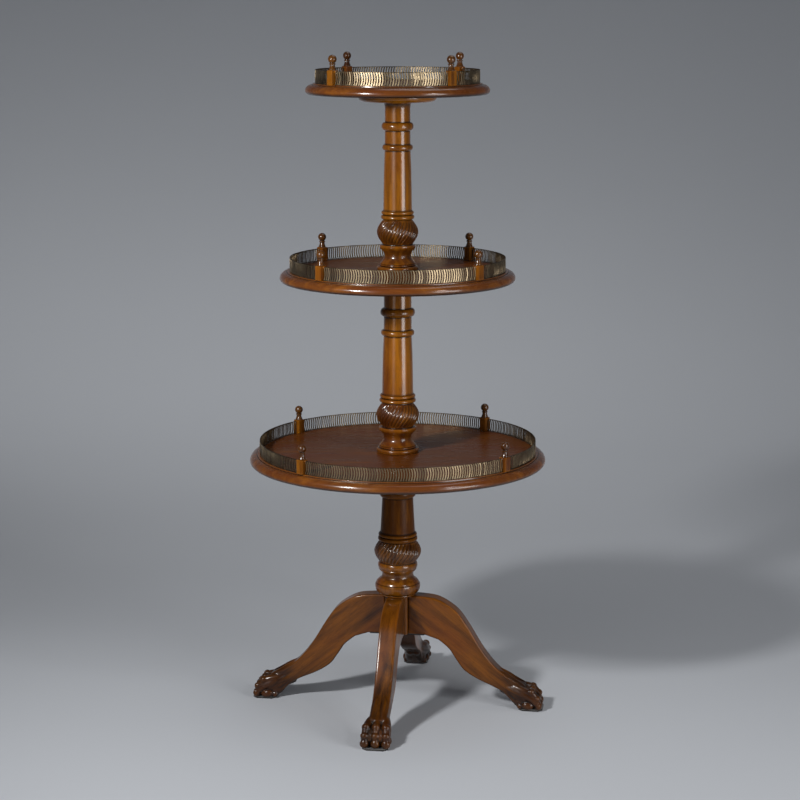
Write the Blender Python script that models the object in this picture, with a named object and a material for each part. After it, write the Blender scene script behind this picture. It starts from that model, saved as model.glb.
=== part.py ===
"""A three-tier dumbwaiter: round galleried trays that turn on a carved pedestal.

Metres, +Z up. The origin lies on the floor under the column's axis, and -Y is the front.
"""

from itertools import pairwise
from math import cos, pi, radians, sin, tau

import bmesh
import bpy
from mathutils import Matrix, Vector

# Clearances
GAP = 0.0003
MERGE_DISTANCE = 0.00002
CUT_OVERRUN = 0.002

# Angles in degrees: the sharpest bend that is shaded smooth, and the least that stays an edge
SMOOTH_ANGLE = 35.0
FLAT_ANGLE = 1.0

# Trays
LOWER_TRAY_TOP = 0.541
TIER_SPACING = 0.377
LOWER_RIM_RADIUS = 0.305
MIDDLE_RIM_RADIUS = 0.240
TOP_RIM_RADIUS = 0.1855
LOWER_TRAY_TURN = 3.5
MIDDLE_TRAY_TURN = 1.5
TOP_TRAY_TURN = -5.7
TRAY_THICKNESS = 0.022
RIM_OVERHANG = 0.0205
RIM_MARGIN = 0.005
RIM_STEP = 0.0022
RIM_LOWER_ROUND = 0.0075
POST_DIRECTION = 45.0
TRAY_SEGMENTS = 40
RIM_ARC_STEPS = 3
TOP_SOCKET_DEPTH = 0.012

# Cleats, the turned discs screwed under the trays
CLEAT_RADIUS = 0.081
CLEAT_THICKNESS = 0.015
CLEAT_EDGE = 0.006
CLEAT_SEGMENTS = 24
CLEAT_SCREW_CIRCLE = 0.055
CLEAT_SCREW_LENGTH = 0.026

# Brass galleries
GALLERY_HEIGHT = 0.027
GALLERY_THICKNESS = 0.0012
GALLERY_RAIL = 0.0024
GALLERY_PITCH = 0.0207
GALLERY_BAR = 0.0052
GALLERY_BAR_BULGE = 0.0026

# Posts with ball finials
POST_SIDE = 0.0165
POST_SLOT_DEPTH = 0.0045
POST_SLOT_CLEARANCE = 0.0004
POST_SHOULDER = 0.0025
POST_NECK_HEIGHT = 0.012
POST_BEVEL_SHARE = 0.45
POST_NECK_RADIUS = 0.0050
BALL_RADIUS = 0.0085
DOWEL_RADIUS = 0.0035
DOWEL_LENGTH = 0.012
POST_SIDES = 8

# Column
SPIGOT_RADIUS = 0.011
SPIGOT_ENTRY = 0.025
SPIGOT_SEGMENTS = 16
PEDESTAL_SPIGOT_RADIUS = 0.0085
PEDESTAL_SPIGOT_LENGTH = 0.055
LOWER_BULB_RADIUS = 0.0493
LOWER_SHAFT_RADIUS = 0.0370
MIDDLE_BULB_RADIUS = 0.0446
MIDDLE_SHAFT_RADIUS = 0.0320
UPPER_BULB_RADIUS = 0.0425
UPPER_SHAFT_RADIUS = 0.0290
BEAD_STEPS = 3
SWELL_STEPS = 5

# Pedestal block
PEDESTAL_TOP = 0.2365
PEDESTAL_HEIGHT = 0.083
PEDESTAL_SIDE = 0.048
PEDESTAL_CORNER = 0.004

# Legs
LEG_TURN = -8.6
LEG_REACH = 0.311
LEG_THICKNESS = 0.036
LEG_EASED_EDGE = 0.0025
LEG_CURVE_STEPS = 2
LEG_SIDE_NORMAL_SHARE = 0.9
TENON_DEPTH = 0.010
TENON_NECK_WIDTH = 0.010
TENON_END_WIDTH = 0.015
TENON_STOP = 0.008

# Paws
PAW_HEIGHT = 0.054
TOE_SPACING = 0.0225
TOE_RADIUS = 0.0095
PAW_CORE_RADIUS = 0.017
SIDE_PAD_RADIUS = 0.0085
BALL_SEGMENTS = 6
BALL_RINGS = 4

# Foot pads
PAD_THICKNESS = 0.003
PAD_LENGTH = 0.050
PAD_WIDTH = 0.052
PAD_CORNER = 0.009
PAD_CENTRE_SHARE = 0.91

# Brace plate under the pedestal
PLATE_THICKNESS = 0.003
PLATE_ARM_WIDTH = 0.022
PLATE_REACH = 0.058
PLATE_SCREW_RADIUS = 0.046
PLATE_SCREW_LENGTH = 0.022

# Wood screws
SCREW_HEAD_RADIUS = 0.004
SCREW_SHANK_RADIUS = 0.002
SCREW_HEAD_DEPTH = 0.0022
SCREW_POINT = 0.004
SCREW_SEGMENTS = 6

# Turned outlines, from the foot up. Each row holds a shape, the height where it ends, the
# radius there and the radius of its crest. Heights are shares of the section's length.
# Radii are shares of the bulb's radius up to the bulb's top, and of the shaft's above it.
LOWER_FOOT_SHARE = 0.70
LOWER_BULB_SHARES = (
    ("line", 0.015, 0.70, 0),
    ("bead", 0.073, 0.87, 0.965),
    ("bead", 0.132, 0.68, 0.93),
    ("cove", 0.197, 0.76, 0.645),
    ("bead", 0.263, 0.80, 0.84),
    ("swell", 0.430, 0.80, 1.0),
)
LOWER_SHAFT_SHARES = (
    ("bead", 0.466, 1.05, 1.113),
    ("bead", 0.496, 1.00, 1.08),
    ("line", 0.55, 0.97, 0),
    ("line", 0.66, 0.915, 0),
    ("line", 0.782, 0.865, 0),
    ("bead", 0.842, 0.865, 1.03),
    ("line", 0.955, 0.84, 0),
    ("line", 0.985, 0.90, 0),
    ("line", 1.0, 1.03, 0),
)
TALL_FOOT_SHARE = 0.90
TALL_BULB_SHARES = (
    ("bead", 0.029, 0.84, 0.94),
    ("cove", 0.124, 0.80, 0.661),
    ("bead", 0.152, 0.77, 0.856),
    ("line", 0.159, 0.74, 0),
    ("swell", 0.303, 0.74, 1.0),
)
TALL_SHAFT_SHARES = (
    ("bead", 0.333, 1.08, 1.175),
    ("bead", 0.358, 1.02, 1.144),
    ("line", 0.47, 0.99, 0),
    ("line", 0.60, 0.96, 0),
    ("line", 0.715, 0.90, 0),
    ("bead", 0.751, 0.90, 1.066),
    ("line", 0.832, 0.885, 0),
    ("bead", 0.882, 0.885, 1.11),
    ("line", 0.965, 0.88, 0),
    ("line", 0.988, 0.93, 0),
    ("line", 1.0, 1.08, 0),
)

# The leg's side view: distances out are shares of its reach, heights are shares of the
# pedestal's top.
LEG_TOP_SHARES = (
    (0.16, 0.998),
    (0.28, 0.975),
    (0.40, 0.879),
    (0.48, 0.745),
    (0.587, 0.517),
    (0.688, 0.359),
    (0.79, 0.268),
    (0.87, 0.218),
)
LEG_UNDERSIDE_SHARES = (
    (0.72, 0.158),
    (0.64, 0.210),
    (0.55, 0.262),
    (0.46, 0.338),
    (0.405, 0.433),
    (0.355, 0.530),
    (0.285, 0.607),
)
ANKLE_FRONT_SHARE = 0.93
HEEL_SHARE = 0.826

# The balls that the core, a toe and a side pad are drawn round. Distances out are shares of
# the leg's reach, those aside are shares of the toes' spacing, heights are shares of the paw's
# height, and the last number is a share of the radius of that piece.
PAW_CORE_SHARES = (
    (0.76, 0, 0.78, 0.90),
    (0.80, -0.3, 0.88, 0.85),
    (0.80, 0.3, 0.88, 0.85),
    (0.86, -0.5, 0.42, 1.0),
    (0.86, 0.5, 0.42, 1.0),
    (0.93, -0.5, 0.38, 0.85),
    (0.93, 0.5, 0.38, 0.85),
)
TOE_SHARES = (
    (0.872, 0, 0.80, 0.90),
    (0.925, 0, 0.70, 0.95),
    (0.968, 0, 0.185, 1.0),
)
SIDE_PAD_SHARES = (
    (0.865, 0, 0.22, 1.0),
    (0.91, 0, 0.20, 1.0),
)

# Finial: heights above the neck are shares of the ball's radius, and so are radii.
BALL_OUTLINE_SHARES = (
    (0.32, 0.70),
    (0.85, 0.99),
    (1.40, 0.95),
    (1.86, 0.60),
    (2.05, 0.18),
)

MAHOGANY = ("polished_mahogany", (0.19, 0.066, 0.028), 0.28, 0.0)
TRAY_MAHOGANY = ("tray_mahogany", (0.12, 0.045, 0.025), 0.32, 0.0)
ANTIQUE_BRASS = ("antique_brass", (0.36, 0.28, 0.18), 0.38, 1.0)
SCREW_STEEL = ("screw_steel", (0.42, 0.41, 0.39), 0.40, 1.0)
BLACK_STEEL = ("blackened_steel", (0.05, 0.05, 0.05), 0.50, 1.0)
PAD_FELT = ("dark_felt", (0.015, 0.013, 0.012), 0.90, 0.0)

# Worked out from the sizes above
COLLAR_RISE = CLEAT_THICKNESS + TRAY_THICKNESS
PEDESTAL_BOTTOM = PEDESTAL_TOP - PEDESTAL_HEIGHT
FOOT_SOLE = PAD_THICKNESS + GAP
GALLERY_MID_INSET = GALLERY_THICKNESS / 2
TIERS = (
    ("lower", LOWER_TRAY_TOP, LOWER_RIM_RADIUS, LOWER_TRAY_TURN),
    ("middle", LOWER_TRAY_TOP + TIER_SPACING, MIDDLE_RIM_RADIUS, MIDDLE_TRAY_TURN),
    ("top", LOWER_TRAY_TOP + 2 * TIER_SPACING, TOP_RIM_RADIUS, TOP_TRAY_TURN),
)


def clear_scene():
    """Remove whatever the file held before."""
    for item in list(bpy.data.objects):
        bpy.data.objects.remove(item)


def material_for(finish):
    """Return the Principled material of a finish, made once."""
    name, colour, roughness, metallic = finish
    material = bpy.data.materials.get(name)
    if material is None:
        material = bpy.data.materials.new(name)
        material.use_nodes = True
        shader = material.node_tree.nodes["Principled BSDF"]
        shader.inputs["Base Color"].default_value = (*colour, 1)
        shader.inputs["Roughness"].default_value = roughness
        shader.inputs["Metallic"].default_value = metallic
        material.diffuse_color = (*colour, 1)
    return material


def place(name, mesh, finish, parent, matrix=None):
    """Put a finished mesh in the scene as a named piece under its parent."""
    piece = bpy.data.objects.new(name, mesh)
    bpy.context.scene.collection.objects.link(piece)
    piece.parent = parent
    piece.matrix_local = matrix or Matrix()
    if not mesh.materials:
        mesh.materials.append(material_for(finish))
    return piece


def empty(name, height, turn):
    """Return an empty on the column's axis, turned by some degrees."""
    pivot = bpy.data.objects.new(name, None)
    bpy.context.scene.collection.objects.link(pivot)
    pivot.location = (0, 0, height)
    pivot.rotation_euler = (0, 0, radians(turn))
    return pivot


def finish_mesh(name, work):
    """Turn a bmesh into a smooth-shaded mesh with outward faces."""
    bmesh.ops.recalc_face_normals(work, faces=work.faces)
    if work.calc_volume(signed=True) < 0:
        bmesh.ops.reverse_faces(work, faces=work.faces)
    mesh = bpy.data.meshes.new(name)
    work.to_mesh(mesh)
    work.free()
    mesh.shade_smooth()
    mesh.set_sharp_from_angle(angle=radians(SMOOTH_ANGLE))
    return mesh


def combine(base, tools, operation):
    """Return a base mesh joined with, or cut by, each of the tool meshes."""
    collection = bpy.context.scene.collection
    subject = bpy.data.objects.new(base.name, base)
    collection.objects.link(subject)
    helpers = []
    for tool in tools:
        helper = bpy.data.objects.new(tool.name, tool)
        collection.objects.link(helper)
        modifier = subject.modifiers.new(tool.name, "BOOLEAN")
        modifier.operation = operation
        modifier.solver = "EXACT"
        modifier.object = helper
        helpers.append(helper)
    graph = bpy.context.evaluated_depsgraph_get()
    result = bpy.data.meshes.new_from_object(subject.evaluated_get(graph))
    for leftover in (subject, *helpers):
        bpy.data.objects.remove(leftover)
    work = bmesh.new()
    work.from_mesh(result)
    bmesh.ops.remove_doubles(work, verts=work.verts, dist=MERGE_DISTANCE)
    return finish_mesh(base.name, work)


def turned(name, outline, segments, closed=False):
    """Spin an outline of (radius, height) points about Z, with a facet's middle on +X.

    An open outline starts and ends on the axis. A closed one leaves a bore.
    """
    first = pi / segments
    work = bmesh.new()
    points = [
        work.verts.new((radius * cos(first), radius * sin(first), height))
        for radius, height in outline
    ]
    edges = [work.edges.new(pair) for pair in pairwise(points)]
    if closed:
        edges.append(work.edges.new((points[-1], points[0])))
    bmesh.ops.spin(
        work, geom=points + edges, axis=(0, 0, 1), angle=tau, steps=segments, use_merge=True
    )
    bmesh.ops.remove_doubles(work, verts=work.verts, dist=MERGE_DISTANCE)
    return finish_mesh(name, work)


def extruded(name, outline, low, high):
    """Extrude an outline of (x, y) points from one height to another."""
    work = bmesh.new()
    face = work.faces.new([work.verts.new((x, y, low)) for x, y in outline])
    top = bmesh.ops.extrude_face_region(work, geom=[face], use_keep_orig=True)["geom"]
    moved = [item for item in top if isinstance(item, bmesh.types.BMVert)]
    bmesh.ops.translate(work, verts=moved, vec=(0, 0, high - low))
    return finish_mesh(name, work)


def moved_copy(mesh, matrix):
    """Return a copy of a mesh, carried by a matrix."""
    copy = mesh.copy()
    copy.transform(matrix)
    return copy


def arc_points(centre, across, rise, start, end, steps):
    """Return points on an elliptical arc between two angles in degrees."""
    angles = [radians(start + (end - start) * i / steps) for i in range(steps + 1)]
    return [(centre[0] + across * cos(a), centre[1] + rise * sin(a)) for a in angles]


def smooth_line(points, steps):
    """Return a Catmull-Rom curve through some points."""
    padded = [points[0], *points, points[-1]]
    curve = []
    for before, start, end, after in zip(padded, padded[1:], padded[2:], padded[3:]):
        for i in range(steps):
            t = i / steps
            curve.append((
                (end - before) * ((t - 2) * t + 1) * t / 2
                + start * (1 + t * t * (2 * t - 3))
                + end * t * t * (3 - 2 * t)
                + (after - start) * t * t * (t - 1) / 2
            ))
    curve.append(points[-1])
    return curve


def shaped_rows(start, rows, base, length, unit):
    """Return the (radius, height) points that a table of turned shapes describes."""
    radius, height = start
    points = []
    for shape, height_share, radius_share, crest_share in rows:
        end_radius = radius_share * unit
        end_height = base + height_share * length
        crest = crest_share * unit
        steps = {"line": 1, "bead": BEAD_STEPS}.get(shape, SWELL_STEPS)
        for i in range(1, steps + 1):
            share = i / steps
            if shape == "bead":
                rise = sin(pi * share) / sin(pi / steps)
                share = (1 - cos(pi * share)) / 2
            else:
                rise = sin(pi * share)
            straight = radius + (end_radius - radius) * share
            bulge = 0 if shape == "line" else (crest - straight) * rise
            points.append((straight + bulge, height + (end_height - height) * share))
        radius, height = end_radius, end_height
    return points


def section_outline(base, top, foot_share, bulb, shaft):
    """Return a column section's outer outline, from its foot up."""
    bulb_radius, bulb_rows = bulb
    shaft_radius, shaft_rows = shaft
    length = top - base
    points = [(foot_share * bulb_radius, base)]
    points += shaped_rows(points[-1], bulb_rows, base, length, bulb_radius)
    points += shaped_rows(points[-1], shaft_rows, base, length, shaft_radius)
    return points


def wood_screw(name, length, extra=0.0):
    """Return a countersunk screw pointing up from z = 0, or the hole for it."""
    head = SCREW_HEAD_RADIUS + extra
    shank = SCREW_SHANK_RADIUS + extra
    below = -CUT_OVERRUN if extra else 0
    outline = [(0, below), (head, below)]
    if extra:
        outline.append((head, extra))
    outline += [
        (shank, SCREW_HEAD_DEPTH + extra),
        (shank, length - SCREW_POINT + extra),
        (0, length + extra),
    ]
    return turned(name, outline, SCREW_SEGMENTS)


def around(radius, count, first, height=0.0):
    """Return the matrices of places round the axis, each facing outwards."""
    step = tau / count
    out = Matrix.Translation((radius, 0, height))
    return [Matrix.Rotation(radians(first) + step * i, 4, "Z") @ out for i in range(count)]


def leg_outline():
    """Return the leg's side view as (out, up) points, without its paw."""
    def real(shares):
        return [Vector((out * LEG_REACH, up * PEDESTAL_TOP)) for out, up in shares]

    root = PEDESTAL_SIDE / 2 + GAP
    top = smooth_line(real(LEG_TOP_SHARES), LEG_CURVE_STEPS)
    underside = smooth_line(real(LEG_UNDERSIDE_SHARES), LEG_CURVE_STEPS)
    plate_end = Vector((PLATE_REACH + GAP, PEDESTAL_BOTTOM))
    toe = Vector((ANKLE_FRONT_SHARE * LEG_REACH, FOOT_SOLE))
    heel = Vector((HEEL_SHARE * LEG_REACH, FOOT_SOLE))
    return [
        Vector((root, PEDESTAL_TOP)), *top, toe, heel, *underside, plate_end,
        Vector((root, PEDESTAL_BOTTOM)),
    ]


def tenon_outline(clearance=0.0):
    """Return the dovetail tenon's plan, pointing at the axis, or the socket's plan."""
    face = PEDESTAL_SIDE / 2
    mouth = face + (CUT_OVERRUN if clearance else GAP + CUT_OVERRUN)
    end = face - TENON_DEPTH - clearance
    neck = TENON_NECK_WIDTH / 2 + clearance
    wide = TENON_END_WIDTH / 2 + clearance
    return [(mouth, neck), (face, neck), (end, wide), (end, -wide), (face, -neck), (mouth, -neck)]


def hull_of_balls(name, balls):
    """Return the convex hull of some balls, each given as (centre, radius)."""
    work = bmesh.new()
    for centre, radius in balls:
        bmesh.ops.create_uvsphere(
            work, u_segments=BALL_SEGMENTS, v_segments=BALL_RINGS, radius=radius,
            matrix=Matrix.Translation(centre),
        )
    hull = bmesh.ops.convex_hull(work, input=work.verts)
    spare = [item for item in hull["geom_interior"] if isinstance(item, bmesh.types.BMVert)]
    bmesh.ops.delete(work, geom=spare, context="VERTS")
    loose = [face for face in work.faces if face not in set(hull["geom"])]
    bmesh.ops.delete(work, geom=loose, context="FACES_ONLY")
    bmesh.ops.dissolve_limit(
        work, angle_limit=radians(FLAT_ANGLE), verts=work.verts, edges=work.edges
    )
    return finish_mesh(name, work)


def paw_hull(name, rows, radius, across=0.0):
    """Return the hull of the balls in a table, set sideways by some distance."""
    balls = []
    for out, aside, up, size in rows:
        centre = (out * LEG_REACH, across + aside * TOE_SPACING, up * PAW_HEIGHT)
        balls.append((centre, size * radius))
    return hull_of_balls(name, balls)


def paw_meshes():
    """Return the paw's core, toes and side pads, for joining to the leg."""
    edge = TOE_SPACING + TOE_RADIUS - SIDE_PAD_RADIUS
    return [
        paw_hull("paw_core", PAW_CORE_SHARES, PAW_CORE_RADIUS),
        *(paw_hull("toe", TOE_SHARES, TOE_RADIUS, y) for y in (-TOE_SPACING, 0, TOE_SPACING)),
        *(paw_hull("side_pad", SIDE_PAD_SHARES, SIDE_PAD_RADIUS, y) for y in (-edge, edge)),
    ]


def block(name, low, high):
    """Return a box between two corners."""
    x0, y0, z0 = low
    x1, y1, z1 = high
    return extruded(name, [(x0, y0), (x1, y0), (x1, y1), (x0, y1)], z0, z1)


def eased(mesh, width):
    """Return a mesh with its edges at the flat sides chamfered."""
    work = bmesh.new()
    work.from_mesh(mesh)
    sides = [face for face in work.faces if abs(face.normal.y) > LEG_SIDE_NORMAL_SHARE]
    rims = list({edge for face in sides for edge in face.edges})
    bmesh.ops.bevel(work, geom=rims, offset=width, segments=1, affect="EDGES", clamp_overlap=True)
    return finish_mesh(mesh.name, work)


def leg_mesh():
    """Return a leg: a cabriole board with a tenon, a paw and a screw hole."""
    half = LEG_THICKNESS / 2
    stand = Matrix.Rotation(pi / 2, 4, "X")
    board = moved_copy(extruded("leg", leg_outline(), -half, half), stand)
    board = eased(board, LEG_EASED_EDGE)
    tenon_top = PEDESTAL_TOP - TENON_STOP
    tenon = extruded("tenon", tenon_outline(), PEDESTAL_BOTTOM, tenon_top)
    joined = combine(board, [tenon, *paw_meshes()], "UNION")
    wide = TOE_SPACING + TOE_RADIUS + CUT_OVERRUN
    below_sole = block("below_sole", (0, -wide, -wide), (LEG_REACH + wide, wide, FOOT_SOLE))
    hole = moved_copy(
        wood_screw("screw_hole", PLATE_SCREW_LENGTH, GAP),
        Matrix.Translation((PLATE_SCREW_RADIUS, 0, PEDESTAL_BOTTOM - PLATE_THICKNESS - GAP)),
    )
    return combine(joined, [below_sole, hole], "DIFFERENCE")


def pedestal_mesh():
    """Return the pedestal block with its leg sockets and its bore."""
    half = PEDESTAL_SIDE / 2
    flat = half - PEDESTAL_CORNER
    outline = [(half, -flat), (half, flat), (flat, half), (-flat, half)]
    outline += [(-half, flat), (-half, -flat), (-flat, -half), (flat, -half)]
    body = extruded("pedestal_block", outline, PEDESTAL_BOTTOM, PEDESTAL_TOP)
    socket_top = PEDESTAL_TOP - TENON_STOP + GAP
    socket = extruded("socket", tenon_outline(GAP), PEDESTAL_BOTTOM - CUT_OVERRUN, socket_top)
    sockets = [moved_copy(socket, matrix) for matrix in around(0, 4, 0)]
    bore_radius = PEDESTAL_SPIGOT_RADIUS + GAP
    bore_end = PEDESTAL_TOP - PEDESTAL_SPIGOT_LENGTH - GAP
    mouth = PEDESTAL_TOP + CUT_OVERRUN
    bore = turned(
        "bore", [(0, mouth), (bore_radius, mouth), (bore_radius, bore_end), (0, bore_end)],
        SPIGOT_SEGMENTS,
    )
    return combine(body, [*sockets, bore], "DIFFERENCE")


def plate_mesh():
    """Return the cross-shaped brace plate with its screw holes."""
    arm = PLATE_ARM_WIDTH / 2
    quarter = [(PLATE_REACH, -arm), (PLATE_REACH, arm), (arm, arm)]
    outline = []
    for turn in range(4):
        spin = Matrix.Rotation(turn * pi / 2, 2)
        outline += [tuple(spin @ Vector(point)) for point in quarter]
    top = PEDESTAL_BOTTOM - GAP
    plate = extruded("brace_plate", outline, top - PLATE_THICKNESS, top)
    hole = wood_screw("plate_hole", PLATE_SCREW_LENGTH, GAP)
    places = around(PLATE_SCREW_RADIUS, 4, 0, top - PLATE_THICKNESS)
    return combine(plate, [moved_copy(hole, matrix) for matrix in places], "DIFFERENCE")


def pad_mesh():
    """Return the felt pad under a paw, with cut corners."""
    centre = PAD_CENTRE_SHARE * LEG_REACH
    x0, x1 = centre - PAD_LENGTH / 2, centre + PAD_LENGTH / 2
    y1 = PAD_WIDTH / 2
    c = PAD_CORNER
    outline = [(x1, -y1 + c), (x1, y1 - c), (x1 - c, y1), (x0 + c, y1)]
    outline += [(x0, y1 - c), (x0, -y1 + c), (x0 + c, -y1), (x1 - c, -y1)]
    return extruded("foot_pad", outline, 0, PAD_THICKNESS)


def build_base():
    """Place the pedestal block, the legs, their pads and the brace plate."""
    turn = empty("base_axis", 0, LEG_TURN)
    place("pedestal_block", pedestal_mesh(), MAHOGANY, turn)
    place("brace_plate", plate_mesh(), BLACK_STEEL, turn)
    leg = leg_mesh()
    pad = pad_mesh()
    screw = wood_screw("plate_screw", PLATE_SCREW_LENGTH)
    names = ("right", "back", "left", "front")
    under = PEDESTAL_BOTTOM - PLATE_THICKNESS - GAP
    screws = around(PLATE_SCREW_RADIUS, 4, 0, under)
    for name, out, screw_place in zip(names, around(0, 4, 0), screws):
        place(f"leg_{name}", leg, MAHOGANY, turn, out)
        place(f"foot_pad_{name}", pad, PAD_FELT, turn, out)
        place(f"plate_screw_{name}", screw, SCREW_STEEL, turn, screw_place)


def build_column():
    """Place the three turned sections that stand on one another through the trays."""
    tops = [top - COLLAR_RISE - GAP for _, top, _, _ in TIERS]
    bore = SPIGOT_RADIUS + GAP
    socket = SPIGOT_ENTRY + GAP
    lower_base = PEDESTAL_TOP + GAP
    spigot_foot = PEDESTAL_TOP - PEDESTAL_SPIGOT_LENGTH
    outer = section_outline(
        lower_base, tops[0], LOWER_FOOT_SHARE,
        (LOWER_BULB_RADIUS, LOWER_BULB_SHARES), (LOWER_SHAFT_RADIUS, LOWER_SHAFT_SHARES),
    )
    foot = [(0, spigot_foot), (PEDESTAL_SPIGOT_RADIUS, spigot_foot)]
    foot.append((PEDESTAL_SPIGOT_RADIUS, lower_base))
    head = spigot_head(tops[0], TIERS[0][1] + GAP + SPIGOT_ENTRY)
    mesh = turned("column_lower", [*foot, *outer, *head], SPIGOT_SEGMENTS)
    place("column_lower", mesh, MAHOGANY, None)

    tall = (
        ("column_middle", 0, tops[1], TIERS[1][1] + GAP + SPIGOT_ENTRY,
         MIDDLE_BULB_RADIUS, MIDDLE_SHAFT_RADIUS),
        ("column_upper", 1, tops[2], TIERS[2][1] - TRAY_THICKNESS + TOP_SOCKET_DEPTH - GAP,
         UPPER_BULB_RADIUS, UPPER_SHAFT_RADIUS),
    )
    for name, tier, top, spigot_top, bulb_radius, shaft_radius in tall:
        base = TIERS[tier][1] + GAP
        outer = section_outline(
            base, top, TALL_FOOT_SHARE,
            (bulb_radius, TALL_BULB_SHARES), (shaft_radius, TALL_SHAFT_SHARES),
        )
        foot = [(0, base + socket), (bore, base + socket), (bore, base)]
        head = spigot_head(top, spigot_top)
        mesh = turned(name, [*foot, *outer, *head], SPIGOT_SEGMENTS)
        place(name, mesh, MAHOGANY, None)


def spigot_head(shoulder, top):
    """Return the outline points of the spigot on a section's shoulder."""
    return [(SPIGOT_RADIUS, shoulder), (SPIGOT_RADIUS, top), (0, top)]


def tray_mesh(name, rim_radius, socket_only):
    """Return a turned tray with a moulded rim and its holes, its top face at z = 0."""
    gallery_radius = rim_radius - RIM_OVERHANG
    margin = gallery_radius + RIM_MARGIN
    upper_rise = TRAY_THICKNESS - RIM_STEP - RIM_LOWER_ROUND
    widest = -TRAY_THICKNESS + RIM_LOWER_ROUND
    upper = arc_points(
        (margin, widest), rim_radius - margin, upper_rise, 90, 0, RIM_ARC_STEPS
    )
    lower = arc_points(
        (rim_radius - RIM_LOWER_ROUND, widest), RIM_LOWER_ROUND, RIM_LOWER_ROUND,
        0, -90, RIM_ARC_STEPS - 1,
    )
    bore = SPIGOT_RADIUS + GAP
    rim = [(margin, 0), *upper, *lower[1:]]
    if socket_only:
        socket_top = TOP_SOCKET_DEPTH - TRAY_THICKNESS
        outline = [(0, 0), *rim, (bore, -TRAY_THICKNESS), (bore, socket_top), (0, socket_top)]
        body = turned(name, outline, TRAY_SEGMENTS)
    else:
        outline = [(bore, 0), *rim, (bore, -TRAY_THICKNESS)]
        body = turned(name, outline, TRAY_SEGMENTS, closed=True)
    radius = DOWEL_RADIUS + GAP
    depth = -DOWEL_LENGTH - GAP
    dowel_hole = turned(
        "dowel_hole",
        [(0, CUT_OVERRUN), (radius, CUT_OVERRUN), (radius, depth), (0, depth)],
        POST_SIDES,
    )
    posts = around(gallery_radius - GALLERY_MID_INSET, 4, POST_DIRECTION)
    screw_hole = wood_screw("screw_hole", CLEAT_SCREW_LENGTH, GAP)
    screws = around(CLEAT_SCREW_CIRCLE, 4, 0, -COLLAR_RISE)
    holes = [moved_copy(dowel_hole, matrix) for matrix in posts]
    holes += [moved_copy(screw_hole, matrix) for matrix in screws]
    return combine(body, holes, "DIFFERENCE")


def cleat_mesh(name):
    """Return the turned disc under a tray, with its screw holes."""
    top = -TRAY_THICKNESS - GAP
    bottom = -COLLAR_RISE
    bore = SPIGOT_RADIUS + GAP
    inset = CLEAT_RADIUS - CLEAT_EDGE
    edge = arc_points((inset, bottom + CLEAT_EDGE), CLEAT_EDGE, CLEAT_EDGE, 0, -90, RIM_ARC_STEPS)
    outline = [(bore, top), (CLEAT_RADIUS, top), *edge, (bore, bottom)]
    body = turned(name, outline, CLEAT_SEGMENTS, closed=True)
    hole = wood_screw("screw_hole", CLEAT_SCREW_LENGTH, GAP)
    places = around(CLEAT_SCREW_CIRCLE, 4, 0, bottom)
    return combine(body, [moved_copy(hole, matrix) for matrix in places], "DIFFERENCE")


def ring_of_points(radius, height, square):
    """Return a ring of points, round or stretched to a square with that half side."""
    points = []
    for i in range(POST_SIDES):
        angle = tau * i / POST_SIDES
        x, y = cos(angle), sin(angle)
        reach = radius / max(abs(x), abs(y)) if square else radius
        points.append((reach * x, reach * y, height))
    return points


def post_mesh():
    """Return a square post with a dowel below, a ball finial above and two gallery slots."""
    half = POST_SIDE / 2
    body_top = GALLERY_HEIGHT + POST_SHOULDER
    neck_top = body_top + POST_NECK_HEIGHT
    rings = [
        ring_of_points(DOWEL_RADIUS, -DOWEL_LENGTH, False),
        ring_of_points(DOWEL_RADIUS, GAP, False),
        ring_of_points(half, GAP, True),
        ring_of_points(half, body_top, True),
        ring_of_points(half, body_top + POST_NECK_HEIGHT * POST_BEVEL_SHARE, False),
        ring_of_points(POST_NECK_RADIUS, neck_top, False),
    ]
    for height_share, radius_share in BALL_OUTLINE_SHARES:
        height = neck_top + height_share * BALL_RADIUS
        rings.append(ring_of_points(radius_share * BALL_RADIUS, height, False))
    work = bmesh.new()
    loops = [[work.verts.new(point) for point in ring] for ring in rings]
    for low, high in pairwise(loops):
        for i in range(POST_SIDES):
            j = (i + 1) % POST_SIDES
            work.faces.new((low[i], low[j], high[j], high[i]))
    work.faces.new(loops[0])
    work.faces.new(loops[-1])
    post = finish_mesh("post", work)
    wide = GALLERY_THICKNESS / 2 + POST_SLOT_CLEARANCE
    slots = []
    for side in (-1, 1):
        inner = side * (half - POST_SLOT_DEPTH)
        outer = side * (half + CUT_OVERRUN)
        slots.append(block(
            "slot", (-wide, min(inner, outer), -CUT_OVERRUN),
            (wide, max(inner, outer), GAP + GALLERY_HEIGHT + GAP),
        ))
    return combine(post, slots, "DIFFERENCE")


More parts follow.
